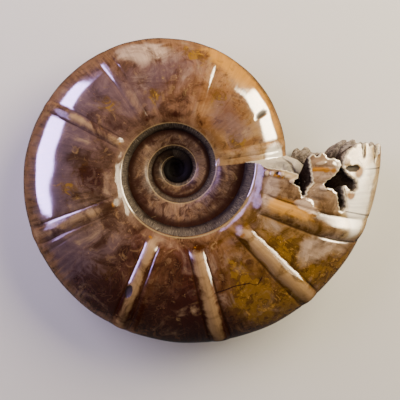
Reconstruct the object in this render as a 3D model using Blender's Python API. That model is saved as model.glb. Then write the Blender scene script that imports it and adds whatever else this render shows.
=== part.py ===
"""Ammonite fossil: a polished coiled shell, broken at its last chamber wall, lying on its flank.

One solid. A whorl section grows along a logarithmic spiral and overlaps the turn before it, so
each side has a stepped umbilicus. Raised ribs cross the flanks. The open end follows the suture,
the frilled line where a chamber wall met the shell: slots run back into the flank between
finger-like lobes.

Frame: metres, +Z up, the coil's axis nearly upright. +X runs towards the frilled end. The origin
is under the middle of the bounding box, on the surface that the shell rests on.

Shell coordinates: phi is the angle along the coil, zero one turn before the suture; q runs round
the section from the upper seam (0) over the crest (1), the venter (2) and the lower crest (3) to
the lower seam (4); w runs from the outer wall (0) in to the turn before (1).
"""

import math

import bmesh
import bpy
import numpy as np
from mathutils import Matrix, Vector
from mathutils.geometry import delaunay_2d_cdt

# Coil. Each size is that of the section at phi = 0 and grows by its own factor each turn.
VENTER_RADIUS = 0.0924
VENTER_GROWTH = 1.87
RIM_RADIUS = 0.0325
RIM_GROWTH = 1.95
HALF_WIDTH = 0.0260
WIDTH_GROWTH = 1.92
CREST_AT = 0.50  # radius of the widest point, as a share of the venter's radius
RIM_SHARE = 0.75  # how far the rim is from the crest, as a share of how far the seam is
SHOULDER_POWER = 1.85  # squareness of the umbilical shoulder: 2 is a quarter of an ellipse
COIL_TURNS = 4
PIT_FLOOR = 0.5  # height of the pit's middle, as a share of that of the first seam

# Ribs: the polar angle in degrees at the venter, mid flank and umbilical shoulder, then width and
# height as shares of the usual ones.
RIBS = (
    (-234.0, -222.0, -212.0, 1.0, 0.8),
    (-150.0, -140.0, -130.0, 1.0, 0.8),
    (-92.0, -92.0, -90.0, 1.1, 0.8),
    (-48.0, -48.0, -46.0, 1.0, 0.8),
    (12.5, 14.0, 18.5, 0.9, 0.7),
    (72.0, 71.8, 70.0, 0.8, 0.6),
    (123.8, 121.9, 122.6, 0.9, 0.5),
    (153.8, 152.6, 154.3, 0.8, 0.9),
    (205.3, 205.2, 208.0, 1.0, 1.0),
    (249.9, 249.6, 251.2, 0.9, 1.0),
    (284.9, 283.6, 283.2, 1.0, 1.15),
    (315.4, 316.1, 318.2, 1.0, 1.15),
    (342.2, 339.3, 338.9, 1.1, 1.2),
)
RIB_LEVELS = (0.6, 1.32, 2.0)  # q of the umbilical shoulder, mid flank and venter
RIB_RADII = (0.42, 0.75, 1.0)  # radius at those levels, as a share of the venter's
RIB_HEIGHT = 0.0185  # as a share of the venter's radius at that angle
RIB_HALF_WIDTH = 0.029  # as a share of the same radius
RIB_STARTS = (0.62, 0.86)  # q over which a rib rises from the umbilical shoulder
RIB_FALLS = (1.6, 2.0)  # q over which it sinks to its height at the venter
RIB_AT_VENTER = 0.2  # that height, as a share of the full height
GROOVE_DEPTH = 0.35  # the groove on each side of a rib, as a share of the rib's height
GROOVE_AT = 1.9  # from the rib's middle to the groove's, in half widths of the rib
GROOVE_NARROWNESS = 3.0

# Suture: its corners from the upper seam to the venter, as q and as degrees of coil past the last
# full turn. The lower side mirrors it.
END_HEIGHT = 6.5  # where the chamber wall meets the turn before
INNER_LEDGE = ((0.487, 6.4), (0.65, 2.3), (0.81, 1.6), (0.96, 1.0), (1.025, -0.1), (1.083, -1.5))
FIRST_SLOT = (
    (1.081, -2.9), (1.053, -4.2), (1.058, -6.1), (1.078, -6.9), (1.096, -6.9), (1.112, -9.0),
    (1.129, -11.2), (1.144, -12.0), (1.159, -11.0), (1.155, -7.4), (1.19, -5.2), (1.173, -2.3),
)
INNER_LOBE = (
    (1.155, 2.0), (1.142, 5.6), (1.15, 7.0), (1.171, 7.2), (1.186, 5.7), (1.203, 5.8),
    (1.216, 7.1), (1.236, 7.3), (1.252, 5.5), (1.27, 4.3), (1.292, 4.6), (1.324, 4.2),
    (1.359, 3.0), (1.361, 1.7), (1.332, -0.7),
)
GREAT_SLOT_LEFT_ARM = (
    (1.303, -2.3), (1.268, -3.6), (1.248, -5.4), (1.276, -7.2), (1.301, -6.3), (1.327, -7.0),
)
GREAT_SLOT_MIDDLE_ARM = (
    (1.362, -8.0), (1.382, -10.3), (1.405, -12.3), (1.432, -14.1), (1.456, -14.4), (1.477, -13.4),
    (1.483, -12.3), (1.464, -10.5), (1.432, -8.3), (1.40, -5.0),
)
GREAT_SLOT_RIGHT_ARM = (
    (1.436, -5.7), (1.468, -7.0), (1.505, -7.3), (1.54, -6.8), (1.544, -5.2), (1.509, -3.1),
    (1.457, -2.0),
)
OUTER_LOBE = (
    (1.40, 0.2), (1.377, 2.0), (1.391, 4.5), (1.414, 6.3), (1.446, 7.3), (1.477, 7.1), (1.50, 8.4),
    (1.525, 8.2), (1.535, 6.5), (1.541, 4.1), (1.555, 4.2), (1.564, 6.9), (1.582, 8.3),
    (1.605, 7.8), (1.621, 6.3), (1.659, 7.0), (1.70, 6.6), (1.719, 4.5), (1.738, 2.4),
    (1.754, 3.3), (1.765, 5.9), (1.802, 6.9), (1.854, 6.4),
)
VENTER_SLOT = ((1.878, 1.0), (1.90, -2.7), (1.918, -3.6), (1.939, -1.6), (1.97, 1.9), (2.0, 2.3))
SUTURE = (
    (0.0, END_HEIGHT),
    *INNER_LEDGE,
    *FIRST_SLOT,
    *INNER_LOBE,
    *GREAT_SLOT_LEFT_ARM,
    *GREAT_SLOT_MIDDLE_ARM,
    *GREAT_SLOT_RIGHT_ARM,
    *OUTER_LOBE,
    *VENTER_SLOT,
)
# The flank near the suture is laid out flat, in metres, to be meshed.
FLAT_PER_Q = (0.044, 0.110)  # metres round the section for each unit of q, inside and outside the crest
FLAT_RADIUS = 0.130  # metres along the coil for each radian

# Rest: the shell leans until its lower flank bears. The flank's lowest points reach 1.1 mm under
# the resting surface, and are worn flat there.
REST_LEAN = 4.7  # degrees
REST_LEAN_TOWARDS = 198.0  # polar angle that sinks
COIL_POSITION = (-0.0231, 0.0199, 0.0447)
WEAR_CUTTER_SIZE = (0.50, 0.50, 0.02)

# Mesh.
STEPS_PER_TURN = 76
INNER_STEPS = 13  # from a seam to where the next turn covers the flank
OUTER_STEPS = 17  # from there to the venter
FRILL_COLUMNS = 8  # columns of the grid that give way to the mesh beside the suture
SUTURE_SPACING = 0.0040
FLANK_SPACING = 0.0085
FLANK_MARGIN = 0.0035  # inner points stay this far from the edges
CHAMBER_WALL_REACH = (0.05, 0.12, 0.21, 0.32, 0.48, 0.70)  # w of each row inwards
CHAMBER_WALL_EASING = (1, 2, 3, 6, 10, 16)  # times that each row is smoothed
CHAMBER_WALL_DISH = (0, 2, 5, 8, 9, 4)  # degrees that each row lies back
MOST_TRIANGLES = 9400
SHARP_OVER = 40.0  # degrees between faces

# Finish.
STONE_COLOUR = (0.16, 0.075, 0.035, 1.0)
STONE_ROUGHNESS = 0.22


def grown(size, factor, phi):
    return size * factor ** (phi / (2 * math.pi))


def outline(phi):
    """Radii and heights that set the section at phi."""
    venter = grown(VENTER_RADIUS, VENTER_GROWTH, phi)
    crest = CREST_AT * venter
    half_width = grown(HALF_WIDTH, WIDTH_GROWTH, phi)
    seam = crest - (crest - grown(RIM_RADIUS, RIM_GROWTH, phi)) / RIM_SHARE
    return venter, crest, half_width, seam


def seam_height(phi):
    """Height of the seam: it lies on the flank of the turn before."""
    venter, crest, half_width, _ = outline(phi - 2 * math.pi)
    seam = outline(phi)[3]
    return half_width * np.sqrt(np.clip(1 - ((seam - crest) / (venter - crest)) ** 2, 0, 1))


def covered_from(phi):
    """q at which the next turn covers the flank at phi."""
    venter, crest, _, _ = outline(phi)
    next_seam = outline(phi + 2 * math.pi)[3]
    return 1 + np.arcsin(np.clip((next_seam - crest) / (venter - crest), 0, 1)) / (math.pi / 2)


def rib_relief(phi, q):
    """Rise above the smooth section: rounded ribs with a groove on each side."""
    venter = grown(VENTER_RADIUS, VENTER_GROWTH, phi)
    across = np.minimum(q, 4 - q)
    scale = np.interp(across, RIB_LEVELS, RIB_RADII) / RIB_HALF_WIDTH
    rise = np.zeros(np.broadcast(phi, q).shape)
    for at_venter, at_flank, at_shoulder, width, height in RIBS:
        line = np.radians(np.interp(across, RIB_LEVELS, (at_shoulder, at_flank, at_venter)))
        away = np.abs(phi - line) * scale / width
        groove = GROOVE_DEPTH * np.exp(-GROOVE_NARROWNESS * (away - GROOVE_AT) ** 2)
        rise += height * (np.exp(-(away**2)) - groove)
    start = np.interp(across, RIB_STARTS, (0, 1))
    fall = np.interp(across, RIB_FALLS, (1, RIB_AT_VENTER))
    return RIB_HEIGHT * venter * start * fall * rise


def shell_point(phi, q, w):
    """Position of shell coordinates, in metres from the middle of the coil."""
    phi, q, w = np.broadcast_arrays(phi, q, w)
    across = np.minimum(q, 4 - q)
    venter, crest, half_width, seam = outline(phi)
    foot = seam_height(phi)

    # Inside the crest the section is a quarter of a superellipse, and outside it of an ellipse.
    inside = across < 1
    angle = np.where(inside, across, across - 1) * math.pi / 2
    along, rising = np.cos(angle), np.sin(angle)
    reach = (along**SHOULDER_POWER + rising**SHOULDER_POWER) ** (-1 / SHOULDER_POWER)
    radius = np.where(inside, crest - (crest - seam) * reach * along, crest + (venter - crest) * rising)
    height = np.where(inside, foot + (half_width - foot) * reach * rising, half_width * along)

    # Ribs rise along the section's normal.
    outward = np.where(
        inside, -(along ** (SHOULDER_POWER - 1)) / (crest - seam), rising / (venter - crest)
    )
    upward = np.where(
        inside, rising ** (SHOULDER_POWER - 1) / (half_width - foot), along / half_width
    )
    rise = rib_relief(phi, q) * (1 - w) / np.hypot(outward, upward)
    radius = radius + rise * outward
    height = height + rise * upward

    # The turn before, from where this one covers it to its venter.
    old_venter, old_crest, old_half_width, _ = outline(phi - 2 * math.pi)
    start = (covered_from(phi - 2 * math.pi) - 1) * math.pi / 2
    turned = start + (math.pi / 2 - start) * across / 2
    radius = radius + w * (old_crest + (old_venter - old_crest) * np.sin(turned) - radius)
    height = height + w * (old_half_width * np.cos(turned) - height)
    return np.stack(
        [radius * np.cos(phi), radius * np.sin(phi), np.where(q > 2, -height, height)], axis=-1
    )


def laid_flat(q, phi):
    """Place on the flank near the suture as metres on a flat sheet."""
    before, after = FLAT_PER_Q
    round_section = np.where(q < 1, before * q, before + after * (q - 1))
    return np.stack([round_section, FLAT_RADIUS * (phi - 2 * math.pi)], axis=-1)


def rolled_up(flat):
    """q and phi of places on the flat sheet."""
    before, after = FLAT_PER_Q
    q = np.where(flat[:, 0] < before, flat[:, 0] / before, 1 + (flat[:, 0] - before) / after)
    return q, 2 * math.pi + flat[:, 1] / FLAT_RADIUS


def suture_line():
    """q and phi of points along the suture, evenly spaced between its corners."""
    q, degrees = np.array(SUTURE).T
    corners = laid_flat(q, 2 * math.pi + np.radians(degrees))
    lengths = np.linalg.norm(np.diff(corners, axis=0), axis=1)
    points = [corners[:1]]
    for start, end, length in zip(corners, corners[1:], lengths):
        steps = max(1, round(length / SUTURE_SPACING))
        points.append(start + (end - start) * np.arange(1, steps + 1)[:, None] / steps)
    return rolled_up(np.concatenate(points))


def inside_outline(points, loop):
    """Whether each point lies inside the loop, by the number of its sides to one side of it."""
    start, end = loop, np.roll(loop, -1, axis=0)
    x, y = points[:, 0, None], points[:, 1, None]
    spans = (start[:, 1] > y) != (end[:, 1] > y)
    rise = np.where(end[:, 1] == start[:, 1], 1, end[:, 1] - start[:, 1])
    crossing = start[:, 0] + (y - start[:, 1]) * (end[:, 0] - start[:, 0]) / rise
    return (spans & (x < crossing)).sum(axis=1) % 2 == 1


def distance_to_outline(points, loop):
    """How far each point lies from the nearest side of the loop."""
    side = np.roll(loop, -1, axis=0) - loop
    offset = points[:, None] - loop
    share = np.clip((offset * side).sum(axis=2) / (side**2).sum(axis=1), 0, 1)
    return np.linalg.norm(offset - share[..., None] * side, axis=2).min(axis=1)


def triangulated(loop):
    """Inner points and triangles that fill a loop on the flat sheet."""
    low, high = loop.min(axis=0), loop.max(axis=0)
    across = np.arange(low[0], high[0], FLANK_SPACING)
    along = np.arange(low[1], high[1], FLANK_SPACING * math.sqrt(0.75))
    grid = np.stack(np.meshgrid(across, along), axis=-1)
    grid[1::2, :, 0] += FLANK_SPACING / 2
    grid = grid.reshape(-1, 2)
    clear = distance_to_outline(grid, loop) > FLANK_MARGIN
    inner = grid[clear & inside_outline(grid, loop)]
    points = [Vector(point) for point in np.concatenate([loop, inner]).tolist()]
    sides = [(i, (i + 1) % len(loop)) for i in range(len(loop))]
    only_inside, merge_within = 1, 1e-9
    result = delaunay_2d_cdt(points, sides, [], only_inside, merge_within)
    faces, own_numbers = result[2], result[3]
    return inner, np.array([[own_numbers[corner][0] for corner in face] for face in faces])


def eased(q, phi, times):
    """The line smoothed: each point moves to the mean of itself and its neighbours."""
    line = np.stack([q, phi], axis=-1)
    for _ in range(times):
        line[1:-1] = line[1:-1] / 2 + (line[:-2] + line[2:]) / 4
    return line[:, 0], line[:, 1]


class Mesh:
    """Points and triangles gathered from strips between rows of points. Its crisp points are those
    that the thinning leaves alone."""

    def __init__(self):
        self.points = []
        self.triangles = []
        self.crisp = []

    def add(self, points):
        """The numbers of new points."""
        first = len(self.points)
        self.points.extend(map(tuple, points.reshape(-1, 3)))
        return np.arange(first, len(self.points)).reshape(points.shape[:-1])

    def quads(self, rows, turned=False):
        """Two triangles for each cell of a grid of point numbers."""
        a, b, c, d = rows[:-1, :-1], rows[1:, :-1], rows[1:, 1:], rows[:-1, 1:]
        for corners in ((a, b, c), (a, c, d)):
            self.triangle_list(np.stack(corners, axis=-1).reshape(-1, 3), turned)

    def zip_rows(self, first, second, turned=False):
        """Triangles between two rows that may hold different numbers of points."""
        ends = np.concatenate([np.linspace(0, 1, len(first))[1:], np.linspace(0, 1, len(second))[1:]])
        from_first = np.arange(len(ends)) < len(first) - 1
        from_first = from_first[np.argsort(ends, kind="stable")]
        i, j = np.cumsum(from_first), np.cumsum(~from_first)
        last = np.where(from_first, first[np.maximum(i - 1, 0)], second[np.maximum(j - 1, 0)])
        corners = np.where(
            from_first[:, None],
            np.stack([last, second[j], first[i]], axis=-1),
            np.stack([first[i], last, second[j]], axis=-1),
        )
        self.triangle_list(corners, turned)

    def triangle_list(self, corners, turned):
        whole = (
            (corners[:, 0] != corners[:, 1])
            & (corners[:, 1] != corners[:, 2])
            & (corners[:, 0] != corners[:, 2])
        )
        self.triangles.extend(map(tuple, corners[whole] if turned else corners[whole][:, ::-1]))


def coil_mesh():
    """The closed skin of the whole shell, in metres from the middle of the coil."""
    mesh = Mesh()
    columns = COIL_TURNS * STEPS_PER_TURN + 1
    end_phi = 2 * math.pi + math.radians(END_HEIGHT)
    phi = end_phi - np.arange(columns)[::-1] * (2 * math.pi / STEPS_PER_TURN)
    covered = columns - 1 - STEPS_PER_TURN  # the column that the end of the coil meets

    # q of each point: one stretch that always shows, and one that the next turn covers.
    share = np.linspace(0, 1, INNER_STEPS + 1)
    beyond = np.linspace(0, 1, OUTER_STEPS + 1)[1:]
    split = covered_from(phi)[:, None]
    q = np.concatenate([split * share, split + (2 - split) * beyond], axis=1)

    upper = np.full(q.shape, -1)
    lower = np.full(q.shape, -1)
    upper_points = shell_point(phi[:, None], q, 0.0)
    lower_points = shell_point(phi[:, None], 4 - q, 0.0)
    last_grid = columns - 1 - FRILL_COLUMNS
    for column in range(columns):
        last = INNER_STEPS if column < covered else q.shape[1]
        if column > last_grid:
            last = 1
        upper[column, :last] = mesh.add(upper_points[column, :last])
        lower[column, :last] = mesh.add(lower_points[column, :last])
    for side in (upper, lower):
        side[: covered + 1, INNER_STEPS] = side[STEPS_PER_TURN:, 0]
    lower[covered : last_grid + 1, -1] = upper[covered : last_grid + 1, -1]

    mesh.quads(upper[: covered + 1, : INNER_STEPS + 1])
    mesh.quads(lower[: covered + 1, : INNER_STEPS + 1], turned=True)
    mesh.quads(upper[covered : last_grid + 1])
    mesh.quads(lower[covered : last_grid + 1], turned=True)

    # The first turn closes on a point in the pit, on each side.
    for side, turned in ((upper, False), (lower, True)):
        edge = np.concatenate([side[: STEPS_PER_TURN + 1, 0], side[0, INNER_STEPS - 1 :: -1]])
        floor = PIT_FLOOR * mesh.points[side[0, 0]][2]
        middle = mesh.add(np.array([[0.0, 0.0, floor]]))
        mesh.zip_rows(edge, middle, turned)

    # The flank beside the suture: its outline runs along the last column of the grid, the venter,
    # the suture and the seam.
    suture_q, suture_phi = suture_line()
    steps = round((suture_phi[-1] - phi[last_grid]) / (phi[1] - phi[0]))
    venter_phi = np.linspace(phi[last_grid], suture_phi[-1], steps + 1)[1:-1]
    seam_phi = phi[last_grid + 1 : -1]
    loop_q = np.concatenate([q[last_grid], 2.0 + 0 * venter_phi, suture_q[::-1], 0 * seam_phi])
    loop_phi = np.concatenate(
        [phi[last_grid] + 0 * q[last_grid], venter_phi, suture_phi[::-1], seam_phi[::-1]]
    )
    inner, triangles = triangulated(laid_flat(loop_q, loop_phi))
    inner_q, inner_phi = rolled_up(inner)
    venter_line = mesh.add(shell_point(venter_phi, 2.0, 0.0))
    rings = []
    for side, turned in ((upper, False), (lower, True)):
        line_q, patch_q = (4 - suture_q, 4 - inner_q) if turned else (suture_q, inner_q)
        line = np.empty(len(suture_q), int)
        line[0] = side[-1, 0]
        line[1:-1] = mesh.add(shell_point(suture_phi[1:-1], line_q[1:-1], 0.0))
        line[-1] = rings[0][-1] if turned else mesh.add(shell_point(suture_phi[-1:], 2.0, 0.0))[0]
        rings.append(line)
        loop = np.concatenate([side[last_grid], venter_line, line[::-1], side[-2:last_grid:-1, 0]])
        patch = np.concatenate([loop, mesh.add(shell_point(inner_phi, patch_q, 0.0))])
        mesh.triangle_list(patch[triangles], not turned)
        mesh.crisp.extend(patch[len(side[last_grid]) :].tolist())

    # The chamber wall: each row inwards is the suture smoothed further, and pulled level.
    ring = np.concatenate([rings[0], rings[1][-2::-1]])
    ring_q = np.concatenate([suture_q, 4 - suture_q[-2::-1]])
    ring_phi = np.concatenate([suture_phi, suture_phi[-2::-1]])
    rows = [ring]
    for reach, times, dish in zip(CHAMBER_WALL_REACH, CHAMBER_WALL_EASING, CHAMBER_WALL_DISH):
        ring_q, ring_phi = eased(ring_q, ring_phi, times)
        row_phi = ring_phi + (end_phi - ring_phi) * reach**2 - math.radians(dish)
        row = mesh.add(shell_point(row_phi, ring_q, reach))
        row[0], row[-1] = ring[0], ring[-1]
        rows.append(row)
    coil = np.concatenate([upper[covered, INNER_STEPS:], lower[covered, -2 : INNER_STEPS - 1 : -1]])
    mesh.quads(np.array(rows))
    mesh.zip_rows(rows[-1], coil)
    mesh.crisp.extend(np.concatenate(rows).tolist())
    return mesh


def rest_turn(points):
    """The points leaned over to the way the shell lies, and moved to its place."""
    towards = math.radians(REST_LEAN_TOWARDS)
    lean = math.radians(REST_LEAN)
    axis = np.array([-math.sin(towards), math.cos(towards), 0.0])
    crossed = np.cross(axis, points)
    along = points @ axis
    turned = (
        points * math.cos(lean)
        + crossed * math.sin(lean)
        + np.outer(along, axis) * (1 - math.cos(lean))
    )
    return turned + np.array(COIL_POSITION)


def stone_material():
    """Polished calcite and aragonite, red-brown to amber."""
    material = bpy.data.materials.new("polished brown calcite")
    material.use_nodes = True
    shader = material.node_tree.nodes["Principled BSDF"]
    shader.inputs["Base Color"].default_value = STONE_COLOUR
    shader.inputs["Roughness"].default_value = STONE_ROUGHNESS
    shader.inputs["Metallic"].default_value = 0.0
    material.diffuse_color = STONE_COLOUR
    return material


def add_wear_cutter():
    """A block under the resting surface that takes the lowest skin off flat."""
    block = bmesh.new()
    below = Matrix.Translation((0.0, 0.0, -WEAR_CUTTER_SIZE[2] / 2))
    bmesh.ops.create_cube(block, size=1.0, matrix=below @ Matrix.Diagonal((*WEAR_CUTTER_SIZE, 1.0)))
    data = bpy.data.meshes.new("wear cutter")
    block.to_mesh(data)
    block.free()
    cutter = bpy.data.objects.new("wear cutter", data)
    cutter.hide_render = True
    cutter.display_type = "WIRE"
    bpy.context.scene.collection.objects.link(cutter)
    return cutter


def add_shell():
    mesh = coil_mesh()
    points = rest_turn(np.array(mesh.points))
    data = bpy.data.meshes.new("ammonite")
    data.from_pydata(points.tolist(), [], [list(map(int, corners)) for corners in mesh.triangles])
    data.validate()
    data.materials.append(stone_material())
    shell = bpy.data.objects.new("ammonite", data)
    bpy.context.scene.collection.objects.link(shell)

    # Only the plain flanks are thinned, so that the slots and lobes stay crisp.
    plain = shell.vertex_groups.new(name="plain flank")
    plain.add(sorted(set(range(len(points))) - set(mesh.crisp)), 1.0, "REPLACE")
    fewer = shell.modifiers.new("fewer triangles", "DECIMATE")
    fewer.vertex_group = plain.name
    fewer.ratio = MOST_TRIANGLES / len(mesh.triangles)
    fewer.use_collapse_triangulate = True

    wear = shell.modifiers.new("wear where it rests", "BOOLEAN")
    wear.operation = "DIFFERENCE"
    wear.solver = "EXACT"
    wear.object = add_wear_cutter()
    return shell


def main():
    for thing in list(bpy.data.objects):
        bpy.data.objects.remove(thing, do_unlink=True)
    shell = add_shell()
    shell.data.shade_smooth()
    shell.data.set_sharp_from_angle(angle=math.radians(SHARP_OVER))
    print("ammonite:", len(shell.data.polygons), "triangles before thinning")


main()
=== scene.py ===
# %% [markdown]
# # Ammonite fossil
# An ammonite is a coiled shell that a squid-like animal built and lived in. Minerals filled its
# chambers, and a cutter has ground away the rock and polished the whole shell. This one lies on
# its flank, broken at the last chamber wall.
#
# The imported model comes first: every surface below has to stay in its box.

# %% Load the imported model
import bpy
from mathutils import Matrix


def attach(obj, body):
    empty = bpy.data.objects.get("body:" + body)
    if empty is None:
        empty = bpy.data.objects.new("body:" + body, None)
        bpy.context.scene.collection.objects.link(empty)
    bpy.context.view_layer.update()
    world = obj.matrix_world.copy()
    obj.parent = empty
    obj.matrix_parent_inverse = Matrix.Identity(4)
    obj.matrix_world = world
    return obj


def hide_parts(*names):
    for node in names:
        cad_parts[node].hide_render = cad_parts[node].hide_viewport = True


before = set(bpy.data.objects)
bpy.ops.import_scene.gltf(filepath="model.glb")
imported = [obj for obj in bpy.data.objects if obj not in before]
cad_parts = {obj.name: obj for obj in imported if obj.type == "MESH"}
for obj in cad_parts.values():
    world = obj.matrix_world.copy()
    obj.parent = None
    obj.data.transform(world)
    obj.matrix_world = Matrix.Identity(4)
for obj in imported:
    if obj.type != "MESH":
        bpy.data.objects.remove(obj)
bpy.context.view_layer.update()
print("nodes:", list(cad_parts))

# %% Libraries
import math

import bpy
import numpy as np
from mathutils import Matrix, Vector
from mathutils.geometry import delaunay_2d_cdt

print("Blender", bpy.app.version_string)

# %% [markdown]
# ## The coil
# A shell grows by adding a little more tube at its mouth, each bit larger by the same share, so
# the tube follows a logarithmic spiral. It could be swept as a profile along a curve with
# Blender's own tools. Here each point is worked out from three shell coordinates instead, because
# the seams, the ribs and the colours all follow them:
# - phi is the angle along the coil, zero one turn before the broken end.
# - q runs round the section: 0 upper seam, 1 crest, 2 venter (the outer edge), 3 lower crest and
#   4 lower seam.
# - w runs from the outer wall, 0, in to the turn before, 1.

# %% Sizes of the coil
FULL_TURN = 2 * math.pi
VENTER_RADIUS, VENTER_GROWTH = 0.0924, 1.87  # metres at phi = 0, and growth in a turn
RIM_RADIUS, RIM_GROWTH = 0.0325, 1.95
HALF_WIDTH, WIDTH_GROWTH = 0.0260, 1.92
CREST_AT = 0.50  # radius of the widest point, as a share of the venter's radius
MID_FLANK_AT = 0.72  # radius of mid flank, as a share of the same
RIM_SHARE = 0.75  # how far the rim is from the crest, as a share of how far the seam is
SHOULDER_POWER = 1.85  # squareness of the umbilical shoulder: 2 is a quarter of an ellipse


def grown(size, factor, phi):
    """A size that is multiplied by the factor in each turn."""
    return size * factor ** (phi / FULL_TURN)


def outline(phi):
    """Radius of the venter and of the crest, half the thickness, and the seam's radius. The seam
    lies just so far inside the crest that the rim, at its share of the way, keeps its radius."""
    venter = grown(VENTER_RADIUS, VENTER_GROWTH, phi)
    crest = CREST_AT * venter
    seam = crest - (crest - grown(RIM_RADIUS, RIM_GROWTH, phi)) / RIM_SHARE
    return venter, crest, grown(HALF_WIDTH, WIDTH_GROWTH, phi), seam


def mid_flank(phi):
    """Radius of mid flank, by which an angle there becomes a length."""
    return MID_FLANK_AT * grown(VENTER_RADIUS, VENTER_GROWTH, phi)


def seam_height(phi):
    """The seam lies on the turn before, whose outer flank is a quarter of an ellipse."""
    venter, crest, half_width, _ = outline(phi - FULL_TURN)
    along = (outline(phi)[3] - crest) / (venter - crest)
    return half_width * np.sqrt(np.clip(1 - along**2, 0, 1))


def covered_from(phi):
    """q at which the next turn covers the flank: the angle on that ellipse, as an arcsine."""
    venter, crest, _, _ = outline(phi)
    along = (outline(phi + FULL_TURN)[3] - crest) / (venter - crest)
    return 1 + np.arcsin(np.clip(along, 0, 1)) / (math.pi / 2)


END_ANGLE = math.radians(6.5)  # the broken end lies this far past a full turn
END_PHI = FULL_TURN + END_ANGLE
print("venter at the end, mm:", round(1000 * float(outline(END_PHI)[0]), 1))

# %% [markdown]
# ## Ribs
# The animal thickened the mouth's edge now and then, and each thick edge stayed behind as a rib
# with a narrow furrow on each side. Ribs could be sculpted, but a formula gives the colours and the
# gloss their places too. A rib is a line across the flank, so it is given by its angle at three
# levels. Its height depends only on the distance from that line.

# %% Ribs
# Degrees at the venter, mid flank and umbilical shoulder, then width and height as shares.
RIBS = (
    (-234.0, -222.0, -212.0, 1.0, 0.25),
    (-150.0, -140.0, -130.0, 1.0, 0.25),
    (-92.0, -92.0, -90.0, 1.1, 0.25),
    (-48.0, -48.0, -46.0, 1.0, 0.25),
    (12.5, 14.0, 18.5, 0.9, 0.7),
    (72.0, 71.8, 70.0, 0.9, 0.42),
    (123.8, 121.9, 122.6, 0.9, 0.5),
    (153.8, 152.6, 154.3, 0.8, 0.8),
    (205.3, 205.2, 208.0, 1.0, 0.75),
    (211.5, 210.0, 212.0, 0.5, 0.25),
    (249.9, 249.6, 251.2, 0.9, 0.85),
    (254.8, 255.8, 259.5, 0.5, 0.25),
    (284.9, 283.6, 283.2, 1.0, 0.95),
    (315.4, 316.1, 318.2, 1.0, 1.0),
    (342.2, 339.3, 338.9, 1.1, 1.15),
)
print("ribs:", len(RIBS))

# %% How much of a rib is at a point
RIB_LEVELS = (0.6, 1.32, 2.0)  # q of the shoulder, mid flank and venter
RIB_RADII = (0.42, 0.75, 1.0)  # radius at those levels, as a share of the venter's
RIB_HALF_WIDTH = 0.047  # as a share of the venter's radius at that angle
RIB_HEIGHT = 0.0152  # as a share of the same radius
RIB_STARTS = (0.60, 0.92)  # q over which a rib rises from the umbilical shoulder
RIB_FALLS = (1.6, 2.0)  # q over which it sinks to its height at the venter
RIB_AT_VENTER = 0.2  # share of its height that is left there
RIB_ROUNDNESS = 1.3
# Where a furrow lies, in half widths from the rib's line; its narrowness; its share of the height.
FURROW_AT, FURROW_NARROWNESS, FURROW_DEPTH = 1.12, 60.0, 0.30


def smooth_step(value, start, end):
    """0 before the start, 1 after the end, and 3 s^2 - 2 s^3 of the share s in between."""
    share = np.clip((value - start) / (end - start), 0, 1)
    return share**2 * (3 - 2 * share)


def rib_reading(phi, q):
    """How much of a rib and of a furrow is at each point, 0 to 1. With a the distance from a
    rib's line in half widths, the rib is (1 - a^2)^1.3 and the furrow a narrow bell at a = 1.12."""
    across = np.minimum(q, 4 - q)
    scale = np.interp(across, RIB_LEVELS, RIB_RADII) / RIB_HALF_WIDTH
    rib = np.zeros(np.broadcast(phi, q).shape)
    furrow = np.zeros_like(rib)
    for at_venter, at_flank, at_shoulder, width, height in RIBS:
        line = np.radians(np.interp(across, RIB_LEVELS, (at_shoulder, at_flank, at_venter)))
        away = np.abs(phi - line) * scale / width
        rib = np.maximum(rib, height * np.clip(1 - away**2, 0, 1) ** RIB_ROUNDNESS)
        furrow = np.maximum(furrow, height * np.exp(-FURROW_NARROWNESS * (away - FURROW_AT) ** 2))
    sunk = (1 - RIB_AT_VENTER) * smooth_step(across, *RIB_FALLS)
    fade = smooth_step(across, *RIB_STARTS) * (1 - sunk)
    return fade * rib, fade * furrow


tallest = max(rib[-1] for rib in RIBS) * RIB_HEIGHT * float(outline(END_PHI)[0])
print("tallest rib, mm:", round(1000 * tallest, 1))

# %% [markdown]
# ## Chips, knobs, waves and the umbilical rim
# A polished shell isn't quite even. Brittle spots have chipped and scooped out, knobs of thicker
# shell stand along the broken edge, with grooves between its fingers, the wheel leaves slow waves,
# and a thin bright edge stands at the top of the umbilical wall. They could be cut with Boolean
# modifiers, which need clean crossings. Here each is one more term of the same relief instead, so
# all of them are true shape and nothing can fail to cut.

# %% Chips, scoops and knobs
METRES_PER_Q = 0.100  # across the coil, near mid flank of the last turn
MM_PER_Q = 1000 * METRES_PER_Q
# Each: degrees, q, half its length along the coil and across it, and its depth or height, metres.
# Chips are painted dark inside, partly as shade in the hollow and partly as darker broken shell,
# and scoops are as light as the shell beside them.
CHIPS = (
    (33.1, 1.512, 0.0018, 0.0125, 0.0014),
    (248.0, 1.325, 0.0030, 0.0056, 0.0012),
    (283.8, 0.893, 0.0016, 0.0020, 0.0012),
    (360.7, 1.462, 0.0023, 0.0062, 0.0020),
    (359.2, 0.872, 0.0018, 0.0024, 0.0014),
    (354.5, 1.670, 0.0040, 0.0022, 0.00013),
)
SCOOPS = (
    (348.6, 1.200, 0.0020, 0.0080, 0.0008),
    (361.6, 1.235, 0.0016, 0.0070, 0.0013),
    (356.0, 0.890, 0.0016, 0.0100, 0.0008),
)
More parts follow.
